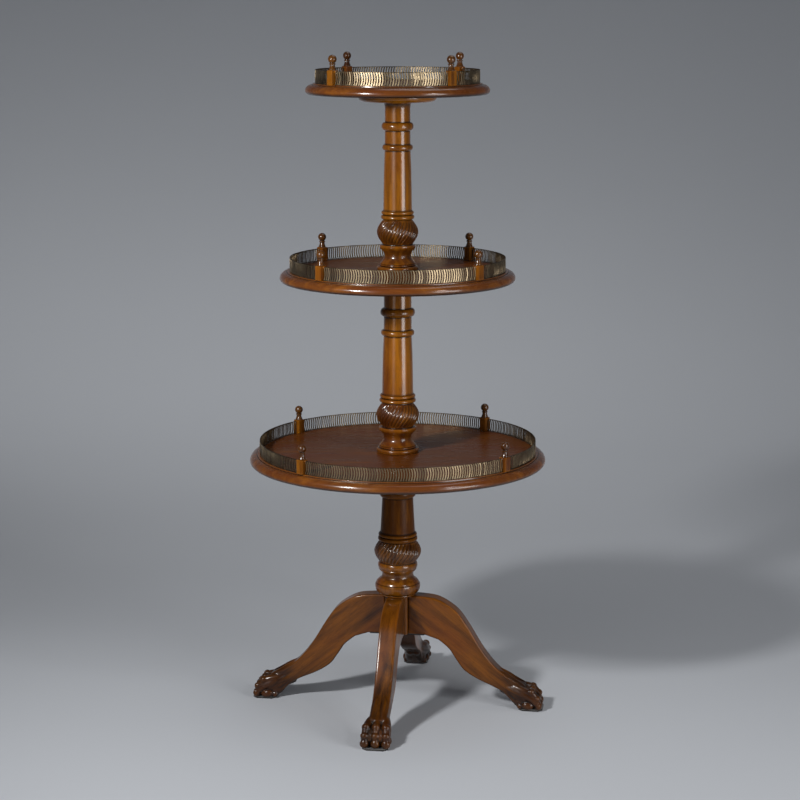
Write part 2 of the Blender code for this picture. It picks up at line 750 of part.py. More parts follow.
def gallery_mesh(gallery_radius):
    """Return a quarter of a pierced gallery, from the slot of one post to the next."""
    mid_radius = gallery_radius - GALLERY_MID_INSET
    tongue = POST_SIDE / 2 - POST_SLOT_DEPTH + GAP
    start = tongue / mid_radius
    end = pi / 2 - start
    margin = (POST_SIDE / 2 + GALLERY_RAIL) / mid_radius
    clear = pi / 2 - 2 * margin
    count = round(clear * mid_radius / GALLERY_PITCH)
    pitch = (clear + GALLERY_BAR / mid_radius) / count
    bar = GALLERY_BAR / mid_radius
    bulge = GALLERY_BAR_BULGE / mid_radius
    low, high = GAP, GAP + GALLERY_HEIGHT
    sill, head = low + GALLERY_RAIL, high - GALLERY_RAIL
    middle = (low + high) / 2
    cuts = [margin - bulge + i * pitch for i in range(count)]
    work = bmesh.new()

    def loop(points):
        verts = [work.verts.new((angle, 0, height)) for angle, height in points]
        for pair in pairwise([*verts, verts[0]]):
            work.edges.new(pair)

    knots = [start, *(left + pitch / 2 for left in cuts), end]
    loop([(a, low) for a in knots] + [(a, high) for a in reversed(knots)])
    for left in cuts:
        right = left + pitch - bar
        loop([
            (left, sill), (right, sill), (right + bulge, middle),
            (right, head), (left, head), (left + bulge, middle),
        ])
    bmesh.ops.triangle_fill(work, use_beauty=True, edges=work.edges)
    sheet = bmesh.ops.extrude_face_region(work, geom=work.faces, use_keep_orig=True)["geom"]
    inner = {item for item in sheet if isinstance(item, bmesh.types.BMVert)}
    for vert in work.verts:
        radius = gallery_radius - (GALLERY_THICKNESS if vert in inner else 0)
        angle = vert.co.x
        vert.co = (radius * cos(angle), radius * sin(angle), vert.co.z)
    return finish_mesh("gallery", work)


def build_tray(tier, post):
    """Place one tray with its cleat, cleat screws, posts and galleries."""
    name, top, rim_radius, turn = tier
    pivot = empty(f"{name}_tray_axis", top, turn)
    place(f"{name}_tray", tray_mesh(name, rim_radius, name == "top"), TRAY_MAHOGANY, pivot)
    place(f"{name}_cleat", cleat_mesh("cleat"), MAHOGANY, pivot)
    screw = wood_screw("cleat_screw", CLEAT_SCREW_LENGTH)
    for i, matrix in enumerate(around(CLEAT_SCREW_CIRCLE, 4, 0, -COLLAR_RISE), 1):
        place(f"{name}_cleat_screw_{i}", screw, SCREW_STEEL, pivot, matrix)
    gallery_radius = rim_radius - RIM_OVERHANG
    gallery = gallery_mesh(gallery_radius)
    names = ("back_right", "back_left", "front_left", "front_right")
    posts = around(gallery_radius - GALLERY_MID_INSET, 4, POST_DIRECTION)
    for corner, matrix in zip(names, posts):
        place(f"{name}_post_{corner}", post, MAHOGANY, pivot, matrix)
    sides = ("back", "left", "front", "right")
    for side, matrix in zip(sides, around(0, 4, POST_DIRECTION)):
        place(f"{name}_gallery_{side}", gallery, ANTIQUE_BRASS, pivot, matrix)


def main():
    """Build the whole dumbwaiter."""
    clear_scene()
    build_base()
    build_column()
    post = post_mesh()
    for tier in TIERS:
        build_tray(tier, post)


main()
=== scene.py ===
"""The looks of a three-tier dumbwaiter: polished mahogany with pierced brass galleries.

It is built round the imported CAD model, in metres. +Z is up and the front faces -Y.
"""

from itertools import pairwise, product
from math import atan2, cos, pi, radians, sin, sqrt, tau

import bmesh
import bpy
import numpy as np
from bpy.props import FloatProperty, FloatVectorProperty, IntProperty, PointerProperty
from bpy.types import Operator, Panel, PropertyGroup
from mathutils import Matrix, Vector


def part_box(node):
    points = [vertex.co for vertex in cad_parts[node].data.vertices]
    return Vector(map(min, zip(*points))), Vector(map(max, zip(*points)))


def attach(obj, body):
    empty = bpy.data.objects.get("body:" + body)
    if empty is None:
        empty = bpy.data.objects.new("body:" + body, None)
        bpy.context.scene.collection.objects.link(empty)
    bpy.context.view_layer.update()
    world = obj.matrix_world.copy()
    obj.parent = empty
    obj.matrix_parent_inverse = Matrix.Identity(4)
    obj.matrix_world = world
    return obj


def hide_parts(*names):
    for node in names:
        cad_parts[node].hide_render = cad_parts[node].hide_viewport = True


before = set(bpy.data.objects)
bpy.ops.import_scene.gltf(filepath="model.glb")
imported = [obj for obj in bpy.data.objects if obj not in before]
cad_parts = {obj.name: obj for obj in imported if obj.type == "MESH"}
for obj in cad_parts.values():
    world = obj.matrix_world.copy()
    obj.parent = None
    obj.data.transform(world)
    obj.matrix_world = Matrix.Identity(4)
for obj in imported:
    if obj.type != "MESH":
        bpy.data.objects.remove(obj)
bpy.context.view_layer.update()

bl_info = {
    "name": "Three-tier dumbwaiter",
    "version": (1, 0, 0),
    "blender": (4, 5, 0),
    "location": "3D View > Sidebar > Dumbwaiter",
    "description": "Builds a mahogany dumbwaiter with three galleried trays on a carved pedestal",
    "category": "Add Mesh",
}

TIERS = ("lower", "middle", "top")
CORNERS = ("back_right", "back_left", "front_left", "front_right")
SIDES = ("back", "left", "front", "right")
LEGS = ("right", "back", "left", "front")
PEDESTAL_BODY = "pedestal"

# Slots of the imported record
CARVED = "carved_mahogany"
TURNED = "turned_mahogany"
TRAY = "tray_mahogany"
BRASS = "antique_brass"
STEEL = "screw_steel"
PAINTED = "black_steel"
FELT = "dark_felt"

# Degrees between faces, past which an edge is shaded sharp
SHARP_ANGLE = 38.0
# Gap between pieces, and the distance within which points are welded, both in metres
GAP = 0.0003
WELD = 0.000004

# A hollow is judged over this run of an outline, and this depth counts as one
HOLLOW_RUN = 0.003
HOLLOW_DEPTH = 0.0009
# Glaze, which is also painted shade, and wear, which is partly a painted highlight, start at these
# shares of it
LEAST_HOLLOW = 0.15
LEAST_EDGE = 0.3


def linear(code):
    """Return the linear colour of an sRGB hex code."""
    values = [int(code[i : i + 2], 16) / 255 for i in (1, 3, 5)]
    return [v / 12.92 if v <= 0.04045 else ((v + 0.055) / 1.055) ** 2.4 for v in values]


def reach(node):
    """Return how far a CAD node reaches from the column's axis."""
    return max(vertex.co.xy.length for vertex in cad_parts[node].data.vertices)


def heading(node):
    """Return the direction of a CAD node's middle from the axis, in radians."""
    low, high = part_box(node)
    middle = (low + high) / 2
    return atan2(middle.y, middle.x)


# Read from the CAD frame, the turns as how far each tray stands turned about the column
TRAY_TOP = {tier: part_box(f"{tier}_tray")[1].z for tier in TIERS}
TRAY_FOOT = {tier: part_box(f"{tier}_tray")[0].z for tier in TIERS}
CLEAT_FOOT = {tier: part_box(f"{tier}_cleat")[0].z for tier in TIERS}
RIM_RADIUS = {tier: reach(f"{tier}_tray") for tier in TIERS}
GALLERY_RADIUS = {tier: reach(f"{tier}_gallery_front") for tier in TIERS}
TURN = {tier: heading(f"{tier}_post_back_right") - pi / 4 for tier in TIERS}
LEG_TURN = heading("foot_pad_right")
LEG_REACH = reach("leg_right")
BLOCK_LOW, BLOCK_HIGH = (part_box("pedestal_block")[i].z for i in (0, 1))
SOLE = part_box("foot_pad_right")[1].z + GAP


def colour(name, description, code):
    """Return a colour setting."""
    return FloatVectorProperty(
        name=name, description=description, subtype="COLOR", size=3, min=0, max=1,
        default=linear(code),
    )


def length(name, description, default):
    """Return a length setting."""
    return FloatProperty(
        name=name, description=description, default=default, min=0, unit="LENGTH", precision=4,
    )


def power(name, description, default):
    """Return a light's power setting."""
    return FloatProperty(
        name=name, description=description, default=default, min=0, unit="POWER"
    )


class StudioSettings(PropertyGroup):
    """The floor, the lights and the camera."""

    floor_colour: colour("Floor", "Colour of the matt paper floor", "#C4C7CC")
    air_colour: colour("Air", "Colour of the dim light all round", "#A9B0BA")
    air_strength: FloatProperty(
        name="Air strength", description="Strength of the dim light all round", default=0.14, min=0
    )
    key_power: power("Key light", "Power of the small light at the left", 17)
    side_power: power("Side light", "Power of the small light at the right", 2.5)
    fill_power: power("Fill light", "Power of the wide dim light at the left", 4)
    strip_power: power("Strip light", "Power of the wide light at the right", 34)
    top_power: power("Top light", "Power of the wide light overhead", 14)
    wall_power: power("Wall light", "Power of the light on the wall behind", 22)
    camera_distance: length("Camera distance", "From the column to the camera", 4.314)
    camera_height: length("Camera height", "Height of the camera", 1.473)
    camera_fall: FloatProperty(
        name="Camera tilt", description="How far the camera looks down",
        default=radians(10.82), subtype="ANGLE",
    )


class FinishSettings(PropertyGroup):
    """Colours of the woods, the brass and the fittings."""

    light_wood: colour("Light figure", "Palest bands of the mahogany", "#8E560A")
    dark_wood: colour("Dark figure", "Darkest bands of the mahogany", "#4E2907")
    red_wood: colour("Red figure", "Red patches of the mahogany", "#582309")
    leg_light: colour("Light leg figure", "Palest bands of the legs", "#7E4809")
    leg_dark: colour("Dark leg figure", "Darkest bands of the legs", "#2F1806")
    tray_light: colour("Light tray figure", "Palest bands of the trays", "#875016")
    tray_dark: colour("Dark tray figure", "Darkest bands of the trays", "#5C3213")
    # The glaze colour is also the colour of painted shade: in recesses, under the trays' rims and on
    # the legs' faces turned down and back
    glaze: colour("Glaze", "Dark glaze left in the recesses", "#0E0704")
    brass: colour("Brass", "Rubbed brass", "#AE9B7C")
    tarnish: colour("Tarnish", "Brown film on the brass", "#281E15")


class ColumnSettings(PropertyGroup):
    """The turned column and its gadroons."""

    lobes: IntProperty(name="Lobes", description="Gadroons round each bulb", default=32, min=8)
    facets: IntProperty(
        name="Facets", description="Facets across each gadroon", default=10, min=4
    )
    lean: FloatProperty(
        name="Lean", description="Sideways run of a gadroon for its height", default=0.60
    )
    depth: length("Gadroon depth", "Depth of the grooves between gadroons", 0.0026)


class TraySettings(PropertyGroup):
    """The moulded rims and the cleats."""

    margin: length("Margin", "Flat margin outside the gallery", 0.005)
    step: length("Step", "Height of the small step below the margin", 0.0022)
    under_round: length("Lower rounding", "Radius under the rim", 0.0075)
    cleat_radius: length("Cleat radius", "Radius of the disc under a tray", 0.081)


class GallerySettings(PropertyGroup):
    """The pierced brass strips."""

    height: length("Height", "Height of a gallery", 0.027)
    thickness: length("Thickness", "Thickness of the brass", 0.0012)
    rail: length("Rail", "Height of the plain edge above and below the bars", 0.0014)
    pitch: length("Pitch", "Distance between bars", 0.0052)
    bar: length("Bar", "Width of a bar", 0.0027)
    bulge: length("Bulge", "How far a bar curves to one side", 0.0025)


class CarvingSettings(PropertyGroup):
    """The cabriole legs and their paws."""

    thickness: length("Thickness", "Thickness of a leg", 0.036)
    easing: length("Easing", "Radius of the leg's eased edges", 0.0032)
    toe_spacing: length("Toe spacing", "Distance between toes", 0.0223)
    detail: length("Detail", "Finest detail of the carving", 0.0011)


class DumbwaiterSettings(PropertyGroup):
    """All settings of the dumbwaiter."""

    studio: PointerProperty(type=StudioSettings)
    finishes: PointerProperty(type=FinishSettings)
    column: PointerProperty(type=ColumnSettings)
    trays: PointerProperty(type=TraySettings)
    gallery: PointerProperty(type=GallerySettings)
    carving: PointerProperty(type=CarvingSettings)


# Nodes

MIX = "ShaderNodeMix"
NOISE = "ShaderNodeTexNoise"
RANGE = "ShaderNodeMapRange"
BUMP = "ShaderNodeBump"
XYZ = "ShaderNodeCombineXYZ"


def wire(tree, node, inputs):
    """Set each given input of a node to a value, or join it to another node."""
    for key, value in inputs.items():
        socket = node.inputs[key]
        if isinstance(value, bpy.types.Node):
            value = value.outputs[0]
        if isinstance(value, bpy.types.NodeSocket):
            tree.links.new(value, socket)
        else:
            socket.default_value = value


def add(tree, kind, *values, **settings):
    """Add a node, with its settings, and with each input set to a value or joined to a node.

    Values are for the inputs in turn, or are given by the inputs' names. A kind such as ADD is
    a sum of the math node.
    """
    if kind.isupper():
        kind, settings = "ShaderNodeMath", {"operation": kind}
    node = tree.nodes.new(kind)
    for name, value in settings.items():
        setattr(node, name, value)
    for i, value in enumerate(values):
        wire(tree, node, value if isinstance(value, dict) else {i: value})
    return node


def opaque(value):
    """Return a colour with full alpha."""
    return (*value, 1)


def blank_material(name):
    """Return a new material, its tree and its shader."""
    material = bpy.data.materials.new(name)
    material.use_nodes = True
    return material, material.node_tree, material.node_tree.nodes["Principled BSDF"]


# Sizes along and across the grain in metres, noise detail, distortion and shift of the wood's
# figure, ribbons, fibres, red patches and pores. Real pores are 0.2 mm wide, too fine to show,
# so these are drawn 0.9 mm wide.
WOOD_PATTERNS = (
    (0.110, 0.024, 3, 0.7, (0, 0, 0)),
    (0.300, 0.009, 2, 0.3, (0, 0, 0)),
    (0.060, 0.0016, 2, 0.0, (0, 0, 0)),
    (0.170, 0.060, 2, 0.0, (3, 5, 7)),
    (0.012, 0.0009, 1, 0.0, (0, 0, 0)),
)
# Half of the most that figure, ribbons and fibres add up to
MIDDLE_LEVEL = 0.875


def mahogany(name, light, dark, gloss, spread, skin):
    """Return mahogany, stained and French-polished.

    The eye sees soft ribbon figure with red patches, short dark pores, near-black glaze in the
    recesses that is also painted shade there, and rubbed, paler edges that are partly a painted
    highlight, all under a thin glossy skin that isn't quite flat.
    """
    finishes = bpy.context.scene.dumbwaiter.finishes
    light, dark = getattr(finishes, light), getattr(finishes, dark)
    material, tree, shader = blank_material(name)
    grain, glaze_and_shade_share, worn_sheen, tone = (
        add(tree, "ShaderNodeAttribute", attribute_name=title).outputs[output]
        for title, output in (("grain", "Vector"), ("glaze", "Fac"), ("wear", "Fac"), ("tone", "Fac"))
    )
    noises = []
    for long, wide, detail, distortion, shift in WOOD_PATTERNS:
        scale = (1 / long, 1 / wide, 1 / wide)
        place = add(tree, "ShaderNodeMapping", {"Vector": grain, "Location": shift, "Scale": scale})
        noises.append(add(
            tree, NOISE, {"Vector": place, "Scale": 1, "Detail": detail, "Distortion": distortion}
        ))
    figure, ribbons, fibres, patches, pores = noises
    level = tone
    for layer, share in ((figure, 1.0), (ribbons, 0.45), (fibres, 0.30)):
        level = add(tree, "MULTIPLY_ADD", layer, share, level)
    low, high = MIDDLE_LEVEL - spread, MIDDLE_LEVEL + spread
    level = add(tree, RANGE, {"Value": level, "From Min": low, "From Max": high})
    patch = add(tree, RANGE, {"Value": patches, "From Min": 0.45, "From Max": 0.75, "To Max": 0.60})
    pore = add(tree, RANGE, {"Value": pores, "From Min": 0.60, "From Max": 0.72, "To Max": 0.45})
    # Partly painted highlight: convex edges and arrises are paler, as well as rubbed
    rubbed_sheen = add(tree, "MULTIPLY", worn_sheen, 0.35)
    # Painted shade as well as glaze: the glaze colour darkens recesses, the trays' rim undersides and
    # the legs' faces turned down and back
    glaze_and_shade_mix = add(tree, "MULTIPLY", glaze_and_shade_share, 0.88)
    body = opaque(dark)
    for share, tint in (
        (level, light), (patch, finishes.red_wood), (pore, finishes.glaze), (rubbed_sheen, light),
        (glaze_and_shade_mix, finishes.glaze),
    ):
        layer = add(tree, MIX, {0: share, 6: body, 7: opaque(tint)}, data_type="RGBA")
        body = layer.outputs[2]

    sheen = add(tree, RANGE, {
        "Value": figure, "From Min": 0.3, "From Max": 0.7, "To Min": gloss, "To Max": gloss + 0.10,
    })
    sheen = add(tree, "MULTIPLY_ADD", glaze_and_shade_share, 0.25, sheen)
    relief = add(tree, "MULTIPLY_ADD", pore, -0.8, fibres)
    bump = add(tree, BUMP, {"Strength": 0.22, "Distance": 0.0003, "Height": relief})
    # The darkest tones are satin: the middle of a tray, rubbed by use, and the lowest shaft, whose
    # dark tone is painted shade
    polish = add(tree, RANGE, {
        "Value": tone, "From Min": -0.30, "From Max": -0.24, "To Min": 0.06, "To Max": skin,
    })
    wire(tree, shader, {
        "Base Color": body, "Roughness": sheen, "Normal": bump, "Coat Weight": polish,
        "Specular IOR Level": 0.10, "Coat Roughness": 0.18,
    })
    return material


def antique_brass():
    """Return rolled brass, pierced, toned and rubbed.

    The eye sees a brown film with paler gold where hands and cloths have worn it.
    """
    finishes = bpy.context.scene.dumbwaiter.finishes
    material, tree, shader = blank_material("toned_rolled_brass")
    place = add(tree, "ShaderNodeTexCoord").outputs["Object"]
    clouds = add(tree, NOISE, {"Vector": place, "Scale": 1 / 0.030, "Detail": 3})
    # Fine wear 1.5 mm across
    specks = add(tree, NOISE, {"Vector": place, "Scale": 1 / 0.0015, "Detail": 2})
    rubbed_sheen = add(tree, "ShaderNodeAttribute", attribute_name="wear").outputs["Fac"]
    film = add(tree, "MULTIPLY_ADD", specks, 0.5, clouds)
    film = add(tree, RANGE, {"Value": film, "From Min": 0.58, "From Max": 0.92, "To Min": 0.70})
    film = add(tree, "MULTIPLY_ADD", rubbed_sheen, -0.55, film)
    colours = {6: opaque(finishes.brass), 7: opaque(finishes.tarnish)}
    body = add(tree, MIX, {0: film, **colours}, data_type="RGBA")
    dull = add(tree, RANGE, {"Value": film, "To Min": 0.38, "To Max": 0.50})
    bump = add(tree, BUMP, {"Strength": 0.04, "Distance": 0.0001, "Height": specks})
    wire(tree, shader, {
        "Base Color": body.outputs[2], "Roughness": dull, "Normal": bump, "Metallic": 1,
    })
    return material


def flecked(name, dark, light, patterns):
    """Return a material flecked with two colours, its tree, its shader and its noises.

    Each pattern is a noise's scale, detail and distortion, and the first one mixes the colours.
    """
    material, tree, shader = blank_material(name)
    place = add(tree, "ShaderNodeTexCoord").outputs["Object"]
    noises = [
        add(tree, NOISE, {"Vector": place, "Scale": scale, "Detail": detail, "Distortion": twist})
        for scale, detail, twist in patterns
    ]
    body = add(tree, MIX, {0: noises[0], 6: opaque(dark), 7: opaque(light)}, data_type="RGBA")
    wire(tree, shader, {"Base Color": body.outputs[2]})
    return material, tree, shader, noises


def screw_steel():
    """Return mild steel, turned and left bare: grey, with fine turning marks and dull patches."""
    material, tree, shader, (marks,) = flecked(
        "bare_turned_steel", linear("#6E6A64"), linear("#B4B0A8"), ((1 / 0.0012, 3, 0),)
    )
    dull = add(tree, RANGE, {"Value": marks, "To Min": 0.28, "To Max": 0.50})
    wire(tree, shader, {"Roughness": dull, "Metallic": 1})
    return material


def painted_steel():
    """Return cut steel plate under black paint: satin, with a faint orange-peel surface."""
    dust, peel = (1 / 0.020, 4, 0), (1 / 0.002, 2, 0)
    material, tree, shader, noises = flecked(
        "black_painted_steel", linear("#0E0E0F"), linear("#26241F"), (dust, peel)
    )
    bump = add(tree, BUMP, {"Strength": 0.3, "Distance": 0.0002, "Height": noises[1]})
    wire(tree, shader, {"Normal": bump, "Roughness": 0.45})
    return material


def pressed_felt():
    """Return pressed wool felt: nearly black, matt, with matted fibres that catch a soft rim."""
    material, tree, shader, (fibres,) = flecked(
        "pressed_dark_felt", linear("#0C0A09"), linear("#2C2724"), ((1 / 0.0008, 4, 2.5),)
    )
    bump = add(tree, BUMP, {"Strength": 0.6, "Distance": 0.0003, "Height": fibres})
    wire(tree, shader, {"Normal": bump, "Roughness": 0.95, "Sheen Weight": 0.4})
    return material


# Names of each wood and of the settings for its pale and dark figure, then its least roughness,
# the spread of its figure and the weight of its glossy skin. The trays are browner than the
# turned wood, and the legs and the block darker.
WOODS = {
    CARVED: ("carved_polished_mahogany", "leg_light", "leg_dark", 0.28, 0.29, 0.55),
    TURNED: ("turned_polished_mahogany", "light_wood", "dark_wood", 0.24, 0.24, 0.90),
    TRAY: ("tray_polished_mahogany", "tray_light", "tray_dark", 0.24, 0.22, 0.80),
}
MAKERS = {BRASS: antique_brass, STEEL: screw_steel, PAINTED: painted_steel, FELT: pressed_felt}
made = {}


def finish(slot):
    """Return the material of a slot, made once."""
    if slot not in made:
        made[slot] = mahogany(*WOODS[slot]) if slot in WOODS else MAKERS[slot]()
    return made[slot]


# Meshes

# Axes of a grain that runs upwards
UPRIGHT = ((0, 0, 1), (1, 0, 0), (0, 1, 0))


def held(name, data):
    """Return a new object in the scene that holds a mesh, a light or a camera."""
    holder = bpy.data.objects.new(name, data)
    bpy.context.scene.collection.objects.link(holder)
    return holder


def install(name, mesh, body, nodes, slot):
    """Show a finished mesh as a piece on a body, in place of some CAD nodes."""
    if not mesh.materials:
        mesh.materials.append(finish(slot))
    piece = held(name, mesh)
    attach(piece, body)
    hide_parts(*nodes)


def read(items, name, width=3, kind=np.float32):
    """Return one property of many parts of a mesh, as an array with a row for each."""
    values = np.empty(len(items) * width, kind)
    items.foreach_get(name, values)
    return values.reshape(-1, width)


def write_values(mesh, name, values):
    """Store one number for each vertex of a mesh."""
    attribute = mesh.attributes.get(name) or mesh.attributes.new(name, "FLOAT", "POINT")
    attribute.data.foreach_set("value", np.asarray(values, np.float32))


def lay_grain(mesh, axes, shift):
    """Store the coordinates that the wood's pattern follows: along the grain, then across it.

    Its own shift gives each piece another part of the pattern.
    """
    places = read(mesh.vertices, "co") @ np.array(axes, np.float32).T + np.array(shift, np.float32)
    attribute = mesh.attributes.new("grain", "FLOAT_VECTOR", "POINT")
    attribute.data.foreach_set("vector", places.astype(np.float32).ravel())


def shade(mesh):
    """Shade a mesh smooth between its sharp edges."""
    mesh.shade_smooth()
    mesh.set_sharp_from_angle(angle=radians(SHARP_ANGLE))


def tidied(mesh):
    """Weld a mesh, turn its faces outwards and shade it."""
    work = bmesh.new()
    work.from_mesh(mesh)
    bmesh.ops.remove_doubles(work, verts=work.verts, dist=WELD)
    if work.calc_volume(signed=True) < 0:
        bmesh.ops.reverse_faces(work, faces=work.faces)
    work.to_mesh(mesh)
    work.free()
    shade(mesh)
    return mesh


def lofted(name, rings, closed=False, shades=None):
    """Join rings of points into one smooth skin with outward faces.

    A first or last ring with no size becomes a pole. Shades give a value for each ring.
    """
    count = len(rings[0])
    pairs = list(pairwise(range(len(rings))))
    if closed:
        pairs.append((len(rings) - 1, 0))
    faces = []
    for low, high in pairs:
        a, b = low * count, high * count
        for i in range(count):
            j = (i + 1) % count
            faces.append((a + i, a + j, b + j, b + i))
    mesh = bpy.data.meshes.new(name)
    mesh.from_pydata([tuple(point) for ring in rings for point in ring], [], faces)
    for title, values in (shades or {}).items():
        write_values(mesh, title, np.repeat(values, count))
    return tidied(mesh)


def set_ball(work, centre, sizes, detail):
    """Add a ball, stretched to its half sizes."""
    matrix = Matrix.Translation(centre) @ Matrix.Diagonal((*sizes, 1))
    bmesh.ops.create_icosphere(work, subdivisions=detail, radius=1, matrix=matrix)


def circle(radius, height, count):
    """Return a level ring of points about the axis."""
    angles = [tau * i / count for i in range(count)]
    return [(radius * cos(angle), radius * sin(angle), height) for angle in angles]


def hollows(outline):
    """Return how deep each point of an outline lies in a hollow, and how far it stands out."""
    points = np.array(outline)
    steps = np.linalg.norm(np.diff(points, axis=0), axis=1)
    run = np.concatenate(([0], np.cumsum(steps)))
    sides = [
        np.stack([np.interp(run + way, run, points[:, i]) for i in (0, 1)], axis=1)
        for way in (-HOLLOW_RUN, HOLLOW_RUN)
    ]
    chord = sides[1] - sides[0]
    size = np.maximum(np.linalg.norm(chord, axis=1), WELD)
    outward = np.stack([chord[:, 1], -chord[:, 0]], axis=1) / size[:, None]
    depth = np.sum(((sides[0] + sides[1]) / 2 - points) * outward, axis=1) / HOLLOW_DEPTH
    return np.clip(depth - LEAST_HOLLOW, 0, 1), np.clip(-depth - LEAST_EDGE, 0, 1)


def spaced(outline):
    """Return an outline's rows, with one more near each end of every long straight run."""
    rows = [np.array(outline[0], float)]
    for start, end in pairwise(np.array(outline, float)):
        size = np.linalg.norm((end - start)[:2])
        if size > 3 * HOLLOW_RUN:
            near = HOLLOW_RUN / size
            rows += [start + (end - start) * share for share in (near, 1 - near)]
        rows.append(end)
    return np.array(rows)


def revolved(name, outline, count, closed=False, titles=()):
    """Turn a mesh from rows of radius, height and titled values, with glaze and painted shade in its
    hollows.
    """
    rows = spaced(outline)
    glaze, wear = hollows(rows[:, :2])
    shades = {"glaze": glaze, "wear": wear, **dict(zip(titles, rows[:, 2:].T))}
    return lofted(name, [circle(*row[:2], count) for row in rows], closed, shades)


def smooth_line(points, steps):
    """Return a Catmull-Rom curve through rows of numbers."""
    rows = [np.array(point, float) for point in points]
    padded = [rows[0], *rows, rows[-1]]
    curve = []
    for before, start, end, after in zip(padded, padded[1:], padded[2:], padded[3:]):
        for i in range(steps):
            t = i / steps
            curve.append(
                (end - before) * ((t - 2) * t + 1) * t / 2
                + start * (1 + t * t * (2 * t - 3))
                + end * t * t * (3 - 2 * t)
                + (after - start) * t * t * (t - 1) / 2
            )
    curve.append(rows[-1])
    return curve


def arc(centre, across, rise, start, end, steps):
    """Return points on an elliptical arc between two angles in degrees."""
    angles = [radians(start + (end - start) * i / steps) for i in range(steps + 1)]
    return [(centre[0] + across * cos(a), centre[1] + rise * sin(a)) for a in angles]


def evaluated(holder):
    """Return the plain mesh that an object's modifiers make, and remove the object."""
    graph = bpy.context.evaluated_depsgraph_get()
    mesh = bpy.data.meshes.new_from_object(holder.evaluated_get(graph), depsgraph=graph)
    holder.modifiers.clear()
    bpy.data.objects.remove(holder)
    return mesh


def around(radius, first, height):
    """Return the matrices of four places round the axis, each facing outwards."""
    out = Matrix.Translation((radius, 0, height))
    return [Matrix.Rotation(first + tau * i / 4, 4, "Z") @ out for i in range(4)]


def drilled(mesh, outline, places):
    """Return a mesh with a hole of a turned outline cut at each place."""
    holder = held(mesh.name, mesh)
    helpers = []
    for matrix in places:
        hole = revolved("hole", outline, HOLE_SIDES)
        hole.transform(matrix)
        helper = held("cutter", hole)
        modifier = holder.modifiers.new("cut", "BOOLEAN")
        modifier.operation = "DIFFERENCE"
        modifier.solver = "EXACT"
        modifier.object = helper
        helpers.append(helper)
    result = evaluated(holder)
    for helper in helpers:
        bpy.data.objects.remove(helper)
    return tidied(result)


def new_tree(name, numbers, counts=()):
    """Return a new geometry tree with named inputs, and the outputs of its input node."""
    tree = bpy.data.node_groups.new(name, "GeometryNodeTree")
    kinds = {"Geometry": "Geometry", **dict.fromkeys(numbers, "Float")}
    kinds.update(**dict.fromkeys(counts, "Int"), Finish="Material")
    for title, kind in kinds.items():
        tree.interface.new_socket(title, in_out="INPUT", socket_type=f"NodeSocket{kind}")
    tree.interface.new_socket("Geometry", in_out="OUTPUT", socket_type="NodeSocketGeometry")
    return tree, tree.nodes.new("NodeGroupInput").outputs


def ended(tree, given, shape):
    """Return a geometry tree, ended with its shape made real and given its material."""
    real = add(tree, "GeometryNodeRealizeInstances", shape)
    clad = add(tree, "GeometryNodeSetMaterial", {"Geometry": real, "Material": given["Finish"]})
    add(tree, "NodeGroupOutput", clad)
    return tree


def grown(name, mesh, tree, values):
    """Return the plain mesh that a geometry tree makes from a mesh and some named values."""
    holder = held(name, mesh)
    modifier = holder.modifiers.new(tree.name, "NODES")
    modifier.node_group = tree
    for item in tree.interface.items_tree:
        if item.in_out == "INPUT" and item.name in values:
            modifier[item.identifier] = values[item.name]
    return evaluated(holder)


# Column

SPIGOT_RADIUS = 0.011
SPIGOT_ENTRY = 0.025
BORE = SPIGOT_RADIUS + GAP
TOP_SOCKET_DEPTH = 0.012
BEAD_STEPS = 10
BULB_STEPS = 30
# How soon the gadroons reach their full depth from a bulb's ends, and the glaze all over it
END_FADE = 3.2
BULB_FILM = 0.36
# Beads are stained darker than the rest
BEAD_STAIN = 0.14
# Shift of the wood's pattern from one section to the next
SECTION_SHIFT = 0.3

# Turned outlines, from the foot up: the height where a straight run ends and the radius there.
# A bead has the radius of its crest too, and so has the bulb. Heights are shares of the
# section's length, and radii are shares of the bulb's radius up to the bulb's top, and of the
# shaft's above it.
LOWER_BULB_SHARES = (
    (0.012, 0.76, 0.785), (0.015, 0.75), (0.017, 0.84), (0.028, 0.90), (0.042, 0.935),
    (0.060, 0.957), (0.077, 0.955), (0.088, 0.94), (0.092, 0.905), (0.096, 0.915), (0.106, 0.892),
    (0.116, 0.845), (0.127, 0.765), (0.136, 0.705), (0.146, 0.672), (0.165, 0.662), (0.176, 0.680),
    (0.187, 0.725), (0.196, 0.775), (0.203, 0.800), (0.207, 0.790), (0.220, 0.828), (0.236, 0.842),
    (0.250, 0.828), (0.258, 0.795), (0.260, 0.762), (0.263, 0.762), (0.430, 0.765, 0.99, "bulb"),
)
LOWER_SHAFT_SHARES = (
    (0.433, 1.005), (0.464, 1.03, 1.115), (0.467, 1.00), (0.494, 1.005, 1.082), (0.497, 1.005),
    (0.499, 0.975), (0.55, 0.955), (0.66, 0.910), (0.780, 0.865), (0.782, 0.890),
    (0.840, 0.890, 1.03), (0.842, 0.860), (0.955, 0.84), (0.985, 0.90), (1.0, 1.03),
)
TALL_BULB_SHARES = (
    (0.027, 0.875, 0.985), (0.029, 0.85), (0.038, 0.835, 0.87), (0.044, 0.845), (0.052, 0.790),
    (0.060, 0.738), (0.069, 0.685), (0.078, 0.652), (0.090, 0.640), (0.101, 0.650), (0.110, 0.682),
    (0.118, 0.730), (0.124, 0.785), (0.127, 0.795), (0.133, 0.845), (0.141, 0.868), (0.149, 0.862),
    (0.153, 0.830), (0.154, 0.72), (0.158, 0.72), (0.302, 0.70, 0.99, "bulb"),
)
